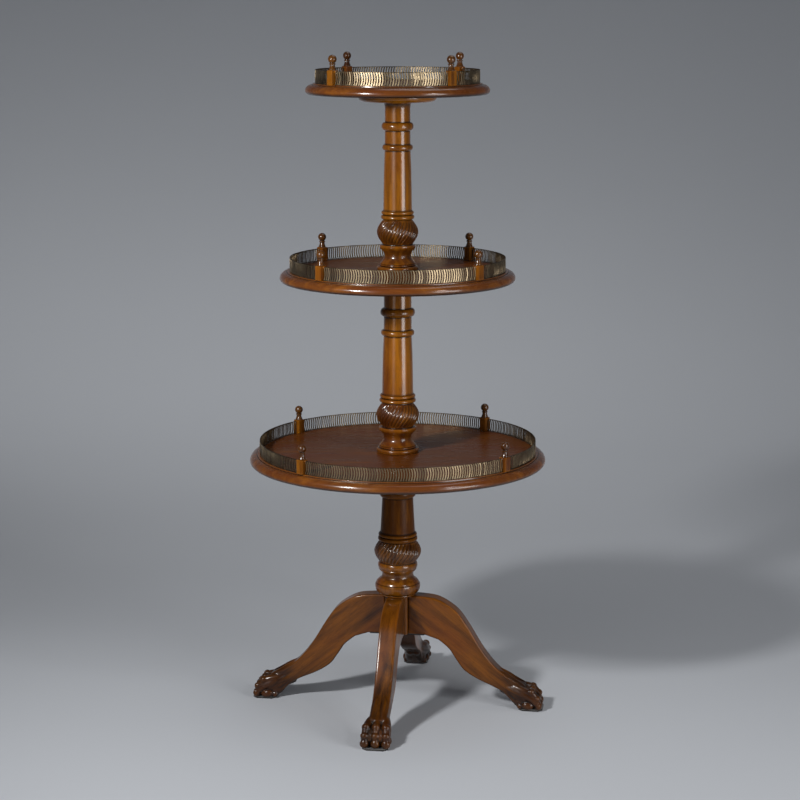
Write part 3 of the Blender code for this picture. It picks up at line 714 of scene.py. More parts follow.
TALL_SHAFT_SHARES = (
    (0.305, 0.975), (0.331, 1.06, 1.178), (0.334, 1.02), (0.356, 1.02, 1.146), (0.359, 1.035),
    (0.361, 1.000), (0.47, 0.985), (0.60, 0.955), (0.713, 0.90), (0.715, 0.93),
    (0.749, 0.93, 1.068), (0.751, 0.895), (0.830, 0.885), (0.832, 0.915), (0.880, 0.915, 1.112),
    (0.882, 0.885), (0.965, 0.88), (0.988, 0.93), (1.0, 1.08),
)
# The foot's share of the bulb's radius, the radii and the tones of the bulb and of the shaft,
# and their rows. The lowest shaft is darkest: its dark tone is painted shade, as if the lowest tray
# shadows it.
SECTIONS = {
    "column_lower": (
        0.765, 0.0493, 0.0370, -0.09, -0.30, LOWER_BULB_SHARES, LOWER_SHAFT_SHARES
    ),
    "column_middle": (0.945, 0.0446, 0.0320, -0.09, 0.12, TALL_BULB_SHARES, TALL_SHAFT_SHARES),
    "column_upper": (0.945, 0.0425, 0.0290, -0.09, 0.10, TALL_BULB_SHARES, TALL_SHAFT_SHARES),
}


def shaped_rows(start, rows, base, span, unit, tone):
    """Return the rows of radius, height, tone and gadroon that a table of shapes describes."""
    radius, height = start[:2]
    points = []
    for height_share, radius_share, *crest in rows:
        end_radius, end_height = radius_share * unit, base + height_share * span
        bead, bulb = len(crest) == 1, len(crest) == 2
        steps = BEAD_STEPS if bead else BULB_STEPS if bulb else 1
        for i in range(1, steps + 1):
            way = i / steps
            rise = sin(pi * way)
            if bead:
                way = (1 - cos(pi * way)) / 2
            place = radius + (end_radius - radius) * way
            if crest:
                place += (crest[0] * unit - place) * rise
            carved = min(1, END_FADE * rise) if bulb else 0
            stain = tone - BEAD_STAIN if bead else tone
            points.append((place, height + (end_height - height) * way, stain, carved))
        radius, height = end_radius, end_height
    return points


def gadroon_tree():
    """Return a geometry tree that carves leaning gadroons into a turned bulb."""
    tree, given = new_tree("gadroons", ("Lean", "Depth"), ("Lobes",))
    position = add(tree, "GeometryNodeInputPosition")
    place = add(tree, "ShaderNodeSeparateXYZ", position).outputs
    carved, glaze = (
        add(tree, "GeometryNodeInputNamedAttribute", {"Name": title}, data_type="FLOAT")
        for title in ("gadroon", "glaze")
    )
    leaning = add(tree, "MULTIPLY", place[2], given["Lean"])
    groove = add(tree, "ARCTAN2", place[1], place[0])
    for operation, value in (
        ("SUBTRACT", leaning), ("MULTIPLY", given["Lobes"]), ("DIVIDE", tau), ("FRACT", 0),
        ("SUBTRACT", 0.5), ("MULTIPLY", 2), ("ABSOLUTE", 0), ("POWER", 3), ("MULTIPLY", carved),
    ):
        groove = add(tree, operation, groove, value)
    sunk = add(tree, "MULTIPLY", groove, given["Depth"])
    inward = add(tree, "MULTIPLY", sunk, -1)
    flat = add(tree, XYZ, place[0], place[1])
    radial = add(tree, "ShaderNodeVectorMath", flat, operation="NORMALIZE")
    offset = add(tree, "ShaderNodeVectorMath", radial, {"Scale": inward}, operation="SCALE")
    # Painted shade as well as glaze: the grooves between gadroons are darkened
    dark = add(tree, RANGE, {"Value": groove, "From Min": 0.22, "From Max": 0.85})
    film = add(tree, "MULTIPLY", carved, BULB_FILM)
    for value in (dark, film):
        glaze = add(tree, "MAXIMUM", glaze, value)
    stored = add(
        tree, "GeometryNodeStoreNamedAttribute",
        {"Geometry": given["Geometry"], "Name": "glaze", "Value": glaze}, data_type="FLOAT",
    )
    moved = add(tree, "GeometryNodeSetPosition", {"Geometry": stored, "Offset": offset})
    return ended(tree, given, moved)


def column_outline(name, base, shoulder, head):
    """Return a column section's outline from its foot up, with its socket and spigot."""
    foot, bulb, shaft, low_tone, high_tone, bulb_rows, shaft_rows = SECTIONS[name]
    span, end = shoulder - base, base + SPIGOT_ENTRY + GAP
    socket = [(0, base)] if name == "column_lower" else [(0, end), (BORE, end), (BORE, base)]
    spigot = [(SPIGOT_RADIUS, shoulder), (SPIGOT_RADIUS, head), (0, head)]
    points = [(*place, low_tone, 0) for place in (*socket, (foot * bulb, base))]
    points += shaped_rows(points[-1], bulb_rows, base, span, bulb, low_tone)
    points += shaped_rows(points[-1], shaft_rows, base, span, shaft, high_tone)
    return points + [(*place, high_tone, 0) for place in spigot]


class DUMBWAITER_OT_column(Operator):
    """Turn the three column sections and carve their gadroons."""

    bl_idname = "dumbwaiter.column"
    bl_label = "Column"

    def execute(self, context):
        settings = context.scene.dumbwaiter.column
        tree = gadroon_tree()
        bases = [BLOCK_HIGH + GAP, TRAY_TOP["lower"] + GAP, TRAY_TOP["middle"] + GAP]
        heads = [base + SPIGOT_ENTRY for base in bases[1:]]
        heads.append(TRAY_FOOT["top"] + TOP_SOCKET_DEPTH - GAP)
        count = settings.lobes * settings.facets
        for i, (name, tier) in enumerate(zip(SECTIONS, TIERS)):
            outline = column_outline(name, bases[i], CLEAT_FOOT[tier] - GAP, heads[i])
            mesh = grown(name, revolved(name, outline, count, False, ("tone", "gadroon")), tree, {
                "Lobes": settings.lobes, "Lean": settings.lean / SECTIONS[name][1],
                "Depth": settings.depth, "Finish": finish(TURNED),
            })
            lay_grain(mesh, UPRIGHT, (0, SECTION_SHIFT * i, 0))
            install(f"{name}_turned", mesh, PEDESTAL_BODY, [name], TURNED)
        return {"FINISHED"}


# Trays and cleats

TRAY_SIDES = 192
CLEAT_SIDES = 96
HOLE_SIDES = 24
EDGE_ROUND = 0.0006
EDGE_STEPS = 3
RIM_STEPS = 10
# Degrees of the rim's rounding above its widest line, and below it
RIM_ARC = (86, 0)
UNDER_ARC = (-8, -90)
FIELD_TONE = -0.30
RIM_TONE = -0.17
# How fast painted shade grows, as glaze, below the rim's widest line: it is full two thirds of the
# way down
UNDER_SHADE_SPREAD = 1.5
# Rings of a tray's field: shares of the gallery's radius, and distances inside it
FIELD_SHARES = (0.33, 0.66, 0.97)
FIELD_INSETS = (0.0014, 0.0006)
# Radius of the innermost ring of the top tray's field
CENTRE_RING = 0.01
# Width of the ring of faces round a bore
BORE_MARGIN = 0.001
# Cleats are paler: painted light, as if lit from below
CLEAT_LIT_TONE = 0.24
CLEAT_FILLET = 0.0025
# Rise of the rounded edge, as a share of its width
CLEAT_SWEEP = 0.82
CLEAT_ARC = (-80, 0)
CLEAT_STEPS = 9
# Radians between the grain of a cleat and of its tray
CLEAT_GRAIN_TURN = 1.1
CLEAT_SCREW_CIRCLE = 0.055
SCREW_HEAD_RADIUS = 0.004
SCREW_HEAD_DEPTH = 0.0022
POST_INSET = 0.0006
DOWEL_RADIUS = 0.0035
DOWEL_LENGTH = 0.012


def across(turn):
    """Return the axes of a grain that runs from left to right of a turned tray."""
    return ((cos(turn), sin(turn), 0), (-sin(turn), cos(turn), 0), (0, 0, 1))


def post_places(tier):
    """Return the matrices of a tray's four posts."""
    return around(GALLERY_RADIUS[tier] - POST_INSET, TURN[tier] + pi / 4, TRAY_TOP[tier])


def tray_mesh(tier, settings):
    """Return a turned tray with its moulded rim, and with holes for its posts' dowels."""
    top, foot = TRAY_TOP[tier], TRAY_FOOT[tier]
    rim, gallery = RIM_RADIUS[tier], GALLERY_RADIUS[tier]
    margin, under = gallery + settings.margin, settings.under_round
    widest, shelf = foot + under, top - settings.step
    edge = margin - EDGE_ROUND
    outline = [
        *((gallery * share, top) for share in FIELD_SHARES),
        *((gallery - inset, top) for inset in FIELD_INSETS), (edge - EDGE_ROUND, top),
        *arc((edge, top - EDGE_ROUND), EDGE_ROUND, EDGE_ROUND, 90, 0, EDGE_STEPS),
        (margin, shelf + EDGE_ROUND / 2), (margin + EDGE_ROUND / 3, shelf - EDGE_ROUND / 2),
        *arc((margin, widest), rim - margin, shelf - widest, *RIM_ARC, 2 * RIM_STEPS),
        *arc((rim - under, widest), under, under, *UNDER_ARC, RIM_STEPS),
    ]
    outline += [
        (outline[-1][0] - EDGE_ROUND * 2, foot), (settings.cleat_radius, foot),
        (BORE + BORE_MARGIN, foot), (BORE, foot),
    ]
    if tier == "top":
        end = foot + TOP_SOCKET_DEPTH
        outline = [(0, top), (CENTRE_RING, top), *outline, (BORE, end), (0, end)]
    else:
        outline = [(BORE, foot), (BORE, top), (BORE + BORE_MARGIN, top), *outline[:-1]]
    outline = [
        (radius, height, FIELD_TONE if radius < gallery and height > shelf else RIM_TONE)
        for radius, height in reversed(outline)
    ]
    mesh = revolved(tier, outline, TRAY_SIDES, tier != "top", ("tone",))
    heights = read(mesh.vertices, "co")[:, 2]
    # Painted shade: the rim's underside is darkened with glaze, as if in its own shadow
    low = np.clip((widest - heights) / (widest - foot) * UNDER_SHADE_SPREAD, 0, 1)
    glaze = read(mesh.attributes["glaze"].data, "value", 1)[:, 0]
    write_values(mesh, "glaze", np.maximum(glaze, low))
    radius, end = DOWEL_RADIUS + GAP, -DOWEL_LENGTH - GAP
    mesh = drilled(mesh, [(0, end), (radius, end), (radius, GAP), (0, GAP)], post_places(tier))
    lay_grain(mesh, across(TURN[tier]), (0, rim, 0))
    return mesh


def cleat_mesh(tier, settings):
    """Return the turned disc under a tray, with countersunk holes for its screws."""
    top, foot = TRAY_FOOT[tier] - GAP, CLEAT_FOOT[tier]
    radius, fillet = settings.cleat_radius, CLEAT_FILLET
    drop = top - fillet - foot
    rise = drop * CLEAT_SWEEP
    outline = [
        (BORE, top), (BORE, foot), (BORE + fillet, foot), (radius - drop, foot),
        *arc((radius - drop - fillet / 2, foot + rise), drop, rise, *CLEAT_ARC, CLEAT_STEPS),
        (radius - fillet / 4, top - fillet), (radius, top - fillet * 0.9), (radius, top),
    ]
    outline = [(*place, CLEAT_LIT_TONE) for place in outline]
    mesh = revolved("cleat", outline, CLEAT_SIDES, True, ("tone",))
    head, end = SCREW_HEAD_RADIUS + GAP, top - foot + GAP
    countersink = [
        (0, -GAP), (head, -GAP), (head, GAP), (head / 2, SCREW_HEAD_DEPTH + GAP),
        (head / 2, end), (0, end),
    ]
    mesh = drilled(mesh, countersink, around(CLEAT_SCREW_CIRCLE, TURN[tier], foot))
    lay_grain(mesh, across(TURN[tier] + CLEAT_GRAIN_TURN), (0.2, RIM_RADIUS[tier] * 3, 0))
    return mesh


class DUMBWAITER_OT_trays(Operator):
    """Turn the three trays with their moulded rims, and the cleats under them."""

    bl_idname = "dumbwaiter.trays"
    bl_label = "Trays"

    def execute(self, context):
        settings = context.scene.dumbwaiter.trays
        for tier in TIERS:
            body = f"{tier}_tray_body"
            tray, cleat = tray_mesh(tier, settings), cleat_mesh(tier, settings)
            install(f"{tier}_tray_moulded", tray, body, [f"{tier}_tray"], TRAY)
            install(f"{tier}_cleat_turned", cleat, body, [f"{tier}_cleat"], TURNED)
        return {"FINISHED"}


# Posts

POST_SIDES = 48
POST_HALF = 0.00825
BALL_RADIUS = 0.0085
BALL_HEIGHT = 0.0504
BALL_STEPS = 14
# Degrees of the ball's outline, from the neck to the top
BALL_ARC = (-56, 90)

# Height over the tray and half width, both in metres, and how square the post is there
POST_ROWS = (
    (-0.0120, 0.0000, 2), (-0.0120, 0.0029, 2), (-0.0113, 0.0035, 2), (0.0003, 0.0035, 2),
    (0.0003, 0.0079, 14), (0.0009, 0.00825, 16), (0.0150, 0.00825, 16), (0.0278, 0.00825, 16),
    (0.0287, 0.0081, 14), (0.0291, 0.0077, 10), (0.0293, 0.0074, 3), (0.0299, 0.0073, 2),
    (0.0313, 0.0071, 2), (0.0327, 0.0066, 2), (0.0342, 0.0058, 2), (0.0358, 0.0055, 2),
    (0.0374, 0.0051, 2), (0.0388, 0.0049, 2), (0.0397, 0.0049, 2), (0.0399, 0.0059, 2),
    (0.0406, 0.0064, 2), (0.0414, 0.0064, 2), (0.0421, 0.0058, 2), (0.0424, 0.0048, 2),
)
# Glaze is left on the neck and the ball
POST_SHOULDER = 0.0288
POST_FILM = 0.68
# Neighbouring posts differ in tone, as if cut from two boards
POST_TONES = (0.05, -0.04)
# Shift of the wood's pattern from tier to tier, and from post to post
TIER_SHIFT = 9
POST_SHIFT = 0.3
# Small wooden lug on each side, at the height of the gallery's rail
LUG_HEIGHT = 0.0258
LUG_SIZES = (0.0022, 0.0026, 0.0024)
LUG_DETAIL = 2


def squared_ring(radius, height, squareness):
    """Return a ring of points, from round at a squareness of 2 to square at a high one."""
    points = []
    for i in range(POST_SIDES):
        angle = tau * (i + 0.5) / POST_SIDES
        x, y = cos(angle), sin(angle)
        out = radius / (abs(x) ** squareness + abs(y) ** squareness) ** (1 / squareness)
        points.append((out * x, out * y, height))
    return points


def post_mesh():
    """Return a square post with a bottle neck, a ball finial and a lug for each gallery."""
    ball = arc((0, BALL_HEIGHT), BALL_RADIUS, BALL_RADIUS, *BALL_ARC, BALL_STEPS)
    rows = [*POST_ROWS, *((height, max(radius, 0), 2) for radius, height in ball)]
    rows = spaced([(radius, height, squareness) for height, radius, squareness in rows])
    glaze, wear = hollows(rows[:, :2])
    glaze = np.maximum(glaze, np.where(rows[:, 1] > POST_SHOULDER, POST_FILM, 0))
    rings = [squared_ring(*row) for row in rows]
    mesh = lofted("post", rings, shades={"glaze": glaze, "wear": wear})
    work = bmesh.new()
    work.from_mesh(mesh)
    for side in (-1, 1):
        set_ball(work, (0, side * POST_HALF, LUG_HEIGHT), LUG_SIZES, LUG_DETAIL)
    work.to_mesh(mesh)
    work.free()
    shade(mesh)
    return mesh


class DUMBWAITER_OT_posts(Operator):
    """Shape the twelve square posts with their ball finials."""

    bl_idname = "dumbwaiter.posts"
    bl_label = "Posts"

    def execute(self, context):
        shape = post_mesh()
        for tier in TIERS:
            shift = (GALLERY_RADIUS[tier] - POST_INSET) * TIER_SHIFT
            for i, (corner, matrix) in enumerate(zip(CORNERS, post_places(tier))):
                mesh = shape.copy()
                lay_grain(mesh, UPRIGHT, (POST_SHIFT * i, shift, i))
                mesh.transform(matrix)
                write_values(mesh, "tone", [POST_TONES[i % 2]] * len(mesh.vertices))
                node = f"{tier}_post_{corner}"
                install(f"{node}_shaped", mesh, f"{tier}_tray_body", [node], TURNED)
        return {"FINISHED"}


# Galleries

BAR_SIDES = 6
BAR_STEPS = 8
RAIL_STEPS = 64
# How far from a post's middle a strip ends, inside the post
STRIP_END = 0.00405
BAR_FLARE = 0.35
# Bars and rails are hexagons, with two of their faces widened to flat fronts
HEXAGON_RISE = sqrt(3) / 2
FACE_WIDENING = 1.72
# A face whose middle lies further out than this is one of those fronts
FACE_DEPTH = 0.6
INNER_WEAR = 0.4
TWIST = radians(8)


def gallery_tree():
    """Return a geometry tree that makes a tray's four pierced brass strips.

    Each strip is a row of curved bars with flared ends between two rails, bent round the
    tray. The strips stand a quarter turn apart.
    """
    numbers = (
        "Radius", "Turn", "Foot", "Height", "Thickness", "Rail", "Bar", "Bulge", "First", "Pitch",
        "Start", "Span",
    )
    tree, given = new_tree("pierced_gallery", numbers, ("Count",))
    position = add(tree, "GeometryNodeInputPosition")
    place = add(tree, "ShaderNodeSeparateXYZ", position).outputs
    half_thick = add(tree, "DIVIDE", given["Thickness"], 2 * HEXAGON_RISE)
    wide = place[0]
    for operation, value in (("MULTIPLY", FACE_WIDENING), ("MINIMUM", 1), ("MAXIMUM", -1)):
        wide = add(tree, operation, wide, value)
    depth = add(tree, "MULTIPLY", place[1], half_thick)
    prism, beam = (
        add(tree, "GeometryNodeMeshCylinder", {
            "Vertices": BAR_SIDES, "Side Segments": steps, "Radius": 1, "Depth": 1,
        })
        for steps in (BAR_STEPS, RAIL_STEPS)
    )

    # One bar: z runs from -0.5 to 0.5 along a unit prism
    twice = add(tree, "MULTIPLY", place[2], 2)
    square = add(tree, "MULTIPLY", twice, twice)
    flare = add(tree, "POWER", square, 4)
    flare = add(tree, "MULTIPLY_ADD", flare, BAR_FLARE, 1)
    half_bar = add(tree, "DIVIDE", given["Bar"], 2)
    half_bar = add(tree, "MULTIPLY", half_bar, flare)
    bow = add(tree, "SUBTRACT", 1, square)
    bow = add(tree, "MULTIPLY", bow, given["Bulge"])
    bar_x = add(tree, "MULTIPLY_ADD", wide, half_bar, bow)
    clear = add(tree, "SUBTRACT", given["Height"], given["Rail"])
    middle = add(tree, "DIVIDE", given["Height"], 2)
    bar_z = add(tree, "MULTIPLY_ADD", place[2], clear, middle)
    # Cloths have rubbed the bars' outer faces most and their inner ones less, and never
    # reach into the slots
    outer = add(tree, "GREATER_THAN", place[1], FACE_DEPTH)
    inner = add(tree, "LESS_THAN", place[1], -FACE_DEPTH)
    worn_sheen = add(tree, "MULTIPLY_ADD", inner, INNER_WEAR, outer)
    prism = add(
        tree, "GeometryNodeStoreNamedAttribute",
        {"Geometry": prism, "Name": "wear", "Value": worn_sheen}, data_type="FLOAT", domain="FACE",
    )
    bar_place = add(tree, XYZ, bar_x, depth, bar_z)
    bar = add(tree, "GeometryNodeSetPosition", {"Geometry": prism, "Position": bar_place})
    first, pitch = add(tree, XYZ, given["First"]), add(tree, XYZ, given["Pitch"])
    row = add(tree, "GeometryNodeMeshLine", {
        "Count": given["Count"], "Start Location": first, "Offset": pitch,
    })
    # Piercing twists each bar a little, so each catches the light differently
    twist = add(
        tree, "FunctionNodeRandomValue",
        {"Min": (0, 0, -TWIST), "Max": (0, 0, TWIST), "Seed": 7}, data_type="FLOAT_VECTOR",
    )
    bars = add(
        tree, "GeometryNodeInstanceOnPoints", {"Points": row, "Instance": bar, "Rotation": twist}
    )

    # One rail, laid along x, then a second one above it
    half_rail = add(tree, "DIVIDE", given["Rail"], 2)
    rail_x = add(tree, "ADD", place[2], 0.5)
    rail_x = add(tree, "MULTIPLY_ADD", rail_x, given["Span"], given["Start"])
    rail_z = add(tree, "MULTIPLY_ADD", wide, half_rail, half_rail)
    rail_place = add(tree, XYZ, rail_x, depth, rail_z)
    sill = add(tree, "GeometryNodeSetPosition", {"Geometry": beam, "Position": rail_place})
    lift = add(tree, XYZ, {2: clear})
    head = add(tree, "GeometryNodeTransform", {"Geometry": sill, "Translation": lift})
    joined = add(tree, "GeometryNodeJoinGeometry")
    for part in (bars, sill, head):
        wire(tree, joined, {0: part})
    flat = add(tree, "GeometryNodeRealizeInstances", joined)

    # Bend the flat strip round the tray
    turn = add(tree, "DIVIDE", place[0], given["Radius"])
    radius = add(tree, "ADD", given["Radius"], place[1])
    bent_x = add(tree, "MULTIPLY", radius, add(tree, "COSINE", turn))
    bent_y = add(tree, "MULTIPLY", radius, add(tree, "SINE", turn))
    bent_z = add(tree, "ADD", place[2], given["Foot"])
    bent_place = add(tree, XYZ, bent_x, bent_y, bent_z)
    bent = add(tree, "GeometryNodeSetPosition", {"Geometry": flat, "Position": bent_place})
    centre = add(tree, "GeometryNodeMeshLine", {"Count": 4, "Offset": (0, 0, 0)})
    index = add(tree, "GeometryNodeInputIndex")
    quarter = add(tree, "MULTIPLY_ADD", index, pi / 2, given["Turn"])
    strips = add(tree, "GeometryNodeInstanceOnPoints", {
        "Points": centre, "Instance": bent, "Rotation": add(tree, XYZ, {2: quarter}),
    })
    return ended(tree, given, strips)


class DUMBWAITER_OT_galleries(Operator):
    """Make the pierced brass galleries between the posts."""

    bl_idname = "dumbwaiter.galleries"
    bl_label = "Galleries"

    def execute(self, context):
        settings = context.scene.dumbwaiter.gallery
        tree = gallery_tree()
        for tier in TIERS:
            middle = GALLERY_RADIUS[tier] - settings.thickness / 2
            quarter = middle * pi / 2
            side = POST_HALF + settings.bar
            count = round((quarter - 2 * side) / settings.pitch) + 1
            sizes = ("Height", "Thickness", "Rail", "Bar", "Bulge")
            mesh = grown(f"{tier}_gallery", bpy.data.meshes.new("gallery"), tree, {
                **{title: getattr(settings, title.lower()) for title in sizes},
                "Radius": middle, "Turn": TURN[tier] + pi / 4, "Foot": TRAY_TOP[tier] + GAP,
                "First": side - settings.bulge / 2, "Count": count,
                "Pitch": (quarter - 2 * side) / (count - 1), "Start": STRIP_END,
                "Span": quarter - 2 * STRIP_END, "Finish": finish(BRASS),
            })
            shade(mesh)
            nodes = [f"{tier}_gallery_{side}" for side in SIDES]
            install(f"{tier}_galleries_pierced", mesh, f"{tier}_tray_body", nodes, BRASS)
        return {"FINISHED"}


# Screws

SCREW_SIDES = 24
SLOT_WIDTH = 0.0009
SLOT_DEPTH = 0.0009
SCREW_SHANK_RADIUS = 0.0019
SCREW_POINT = 0.005


def screw_tree():
    """Return a geometry tree that sets four slotted wood screws, points up, round the axis."""
    tree, given = new_tree("wood_screws", ("Length", "Circle", "Foot", "Turn"))
    head = add(tree, "GeometryNodeMeshCone", {
        "Vertices": SCREW_SIDES, "Radius Top": SCREW_SHANK_RADIUS,
        "Radius Bottom": SCREW_HEAD_RADIUS, "Depth": SCREW_HEAD_DEPTH,
    })
    blade_size = (SCREW_HEAD_RADIUS * 3, SLOT_WIDTH, SLOT_DEPTH * 2)
    blade = add(tree, "GeometryNodeMeshCube", {"Size": blade_size})
    slotted = add(tree, "GeometryNodeMeshBoolean", head, blade, operation="DIFFERENCE")
    ends = SCREW_HEAD_DEPTH + SCREW_POINT
    run = add(tree, "SUBTRACT", given["Length"], ends)
    shank = add(tree, "GeometryNodeMeshCylinder", {
        "Vertices": SCREW_SIDES, "Radius": SCREW_SHANK_RADIUS, "Depth": run,
    })
    half = add(tree, "DIVIDE", run, 2)
    point = add(tree, "GeometryNodeMeshCone", {
        "Vertices": SCREW_SIDES, "Radius Top": 0, "Radius Bottom": SCREW_SHANK_RADIUS,
        "Depth": SCREW_POINT,
    })
    screw = add(tree, "GeometryNodeJoinGeometry")
    wire(tree, screw, {0: slotted})
    for part, height in ((shank, half), (point, run)):
        raised = add(tree, "ADD", height, SCREW_HEAD_DEPTH)
        lift = add(tree, XYZ, {2: raised})
        part = add(tree, "GeometryNodeTransform", {"Geometry": part, "Translation": lift})
        wire(tree, screw, {0: part})
    ring = add(tree, "GeometryNodeMeshCircle", {"Vertices": 4, "Radius": given["Circle"]})
    lift, spin = add(tree, XYZ, {2: given["Foot"]}), add(tree, XYZ, {2: given["Turn"]})
    ring = add(
        tree, "GeometryNodeTransform", {"Geometry": ring, "Translation": lift, "Rotation": spin}
    )
    # Each slot was left at whatever angle its screw came tight
    loose = add(
        tree, "FunctionNodeRandomValue", {"Min": (0, 0, 0), "Max": (0, 0, pi), "Seed": 4},
        data_type="FLOAT_VECTOR",
    )
    screws = add(
        tree, "GeometryNodeInstanceOnPoints",
        {"Points": ring, "Instance": screw, "Rotation": loose},
    )
    return ended(tree, given, screws)


class DUMBWAITER_OT_screws(Operator):
    """Make the slotted wood screws of the cleats and of the brace plate."""

    bl_idname = "dumbwaiter.screws"
    bl_label = "Screws"

    def execute(self, context):
        tree = screw_tree()
        groups = [
            (f"{tier}_cleat_screws", f"{tier}_tray_body", TURN[tier],
             [f"{tier}_cleat_screw_{i}" for i in (1, 2, 3, 4)])
            for tier in TIERS
        ]
        plate_nodes = [f"plate_screw_{leg}" for leg in LEGS]
        groups.append(("plate_screws", PEDESTAL_BODY, LEG_TURN, plate_nodes))
        for name, body, turn, nodes in groups:
            low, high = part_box(nodes[0])
            mesh = grown(name, bpy.data.meshes.new(name), tree, {
                "Length": high.z - low.z, "Circle": ((low + high) / 2).xy.length,
                "Foot": low.z, "Turn": turn, "Finish": finish(STEEL),
            })
            install(f"{name}_slotted", mesh, body, nodes, STEEL)
        return {"FINISHED"}


# Pedestal

BLOCK_HALF = 0.024
BLOCK_CORNER = 0.0045
CORNER_STEPS = 6
# Height of the block's eased arrises, and of a ring of faces next to them
BLOCK_EASING = 0.0008
BLOCK_BAND = 0.02
# Shares of the block's plan that the two rings of its end faces have
END_SHARES = (0.94, 0.97)
BLOCK_GRAIN_SHIFT = (0.7, 0.1, 0)


class DUMBWAITER_OT_pedestal(Operator):
    """Plane the pedestal block, and finish the brace plate and the foot pads."""

    bl_idname = "dumbwaiter.pedestal"
    bl_label = "Pedestal block"

    def execute(self, context):
        plan = []
        flat = BLOCK_HALF - BLOCK_CORNER
        for i, (x, y) in enumerate(((flat, flat), (-flat, flat), (-flat, -flat), (flat, -flat))):
            plan += arc((x, y), BLOCK_CORNER, BLOCK_CORNER, 90 * i, 90 * i + 90, CORNER_STEPS)
        inner, outer = END_SHARES
        lower_half = (
            (BLOCK_LOW, 0), (BLOCK_LOW, inner), (BLOCK_LOW, outer), (BLOCK_LOW + BLOCK_EASING, 1),
            (BLOCK_LOW + BLOCK_BAND, 1),
        )
        upper_half = (
            (BLOCK_HIGH - BLOCK_BAND, 1), (BLOCK_HIGH - BLOCK_EASING, 1), (BLOCK_HIGH, outer),
            (BLOCK_HIGH, inner), (BLOCK_HIGH, 0),
        )
        mesh = lofted("block", [
            [(x * share, y * share, height) for x, y in plan]
            for height, share in (*lower_half, *upper_half)
        ])
        lay_grain(mesh, UPRIGHT, BLOCK_GRAIN_SHIFT)
        mesh.transform(Matrix.Rotation(LEG_TURN, 4, "Z"))
        install("pedestal_block_planed", mesh, PEDESTAL_BODY, ["pedestal_block"], CARVED)
        kept = {"brace_plate": PAINTED, **{f"foot_pad_{leg}": FELT for leg in LEGS}}
        for node, slot in kept.items():
            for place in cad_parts[node].material_slots:
                place.material = finish(slot)
        return {"FINISHED"}


# Legs

# The leg's side view: distances out are shares of its reach, heights are shares of the
# pedestal's top.
LEG_TOP_SHARES = (
    (0.16, 0.998), (0.28, 0.975), (0.40, 0.879), (0.48, 0.745), (0.587, 0.517),
    (0.688, 0.359), (0.79, 0.268), (0.87, 0.218),
)
LEG_UNDERSIDE_SHARES = (
    (0.72, 0.158), (0.64, 0.210), (0.55, 0.262), (0.46, 0.338), (0.405, 0.433),
    (0.355, 0.530), (0.285, 0.607),
)
ANKLE_FRONT_SHARE = 0.93
HEEL_SHARE = 0.826
PLATE_REACH = 0.0583
LEG_STEPS = 8
BALL_DETAIL = 3
BALL_STEPS_BETWEEN = 4
PAW_START = 0.220
PAW_END = 0.262
PAW_FILM = 0.48

# Carved balls in millimetres: distance out, distance aside as a share of the toes' spacing,
# height and radius. A tendon runs down the ankle, and a toe along its bones to its claw.
TENDON_BALLS = (
    (212, 0.36, 80.6, 3.8), (224, 0.38, 74.2, 4.8), (236, 0.40, 66.8, 5.8),
    (247, 0.43, 59.2, 6.2), (256, 0.48, 53.6, 6.4), (264, 0.54, 48.8, 6.4),
)
TOE_BALLS = (
    (246, 0.50, 47.6, 8.6), (256, 0.64, 44.8, 9.2), (265, 0.76, 42.6, 9.2),
    (274, 0.84, 41.0, 8.6), (284, 0.90, 38.0, 8.0), (291, 0.94, 31.6, 7.6),
    (295, 0.95, 25.0, 7.4), (297.4, 0.96, 17.0, 7.2), (299.0, 0.97, 8.0, 6.8),
)
FLANK_BALLS = (
    (232, 0.36, 46, 10.4), (244, 0.50, 42, 11.2), (255, 0.63, 38.5, 11.2),
    (266, 0.76, 35, 10.8), (276, 0.86, 31.0, 10.0), (286, 0.92, 26, 9.2),
    (293, 0.95, 20, 8.4),
)
CORE_BALLS = (
    (226, 0.30, 42, 11.0), (242, 0.36, 36, 12.5), (256, 0.42, 30, 14.2),
    (268, 0.46, 28, 15.6), (280, 0.47, 26, 15.4), (288, 0.48, 23, 13.2),
)
PALM_BALLS = (
    (248, 0.36, 24, 9.5), (258, 0.48, 17.5, 12.0), (270, 0.52, 16, 12.0),
    (282, 0.50, 14.5, 11.0), (288, 0.48, 14, 9.6),
)
# Knuckles and claws in millimetres: distance out, share of the toes' spacing aside, height,
# then the three half sizes
KNUCKLES = (
    (285.0, 0.91, 40.4, 8.4, 8.8, 8.2),
    (297.4, 0.96, 26.6, 7.2, 8.8, 7.4),
    (300.6, 0.98, 11.4, 7.0, 9.0, 8.8),
)
# Pads in millimetres: distance out, aside, height, then the three half sizes
PAD_BALLS = ((277, 22.6, 10.8, 13.5, 7.4, 8.8), (260.5, 20.0, 8.8, 6.2, 6.0, 6.4))
# Distance out, and how pale the leg is there: paler in its middle, partly the wood's figure and
# partly a painted highlight
LEG_TONES_AND_HIGHLIGHT = (
    (0.03, -0.16), (0.07, 0.02), (0.12, 0.12), (0.17, 0.02), (0.20, -0.08), (0.235, -0.17),
)
# Fall of the grain along the leg, and its shift from one leg to the next
GRAIN_FALL = radians(-38)
GRAIN_STEP = (0.9, 0.13, 0.4)
# Painted shade: glaze is put on the faces turned down and back towards the column
HIDDEN_SIDE = (-0.75, 0, -0.66)
HIDDEN_SIDE_SHADE = 0.80
LEAST_HIDDEN = 0.2
# Rounds of smoothing that finish the carving, and that show its hollows
CARVING_ROUNDS = 2
HOLLOW_ROUNDS = 26
CARVED_HOLLOW = 0.0004
LEAST_CARVED = 0.1
CARVED_WEAR_AND_SHEEN = 0.6


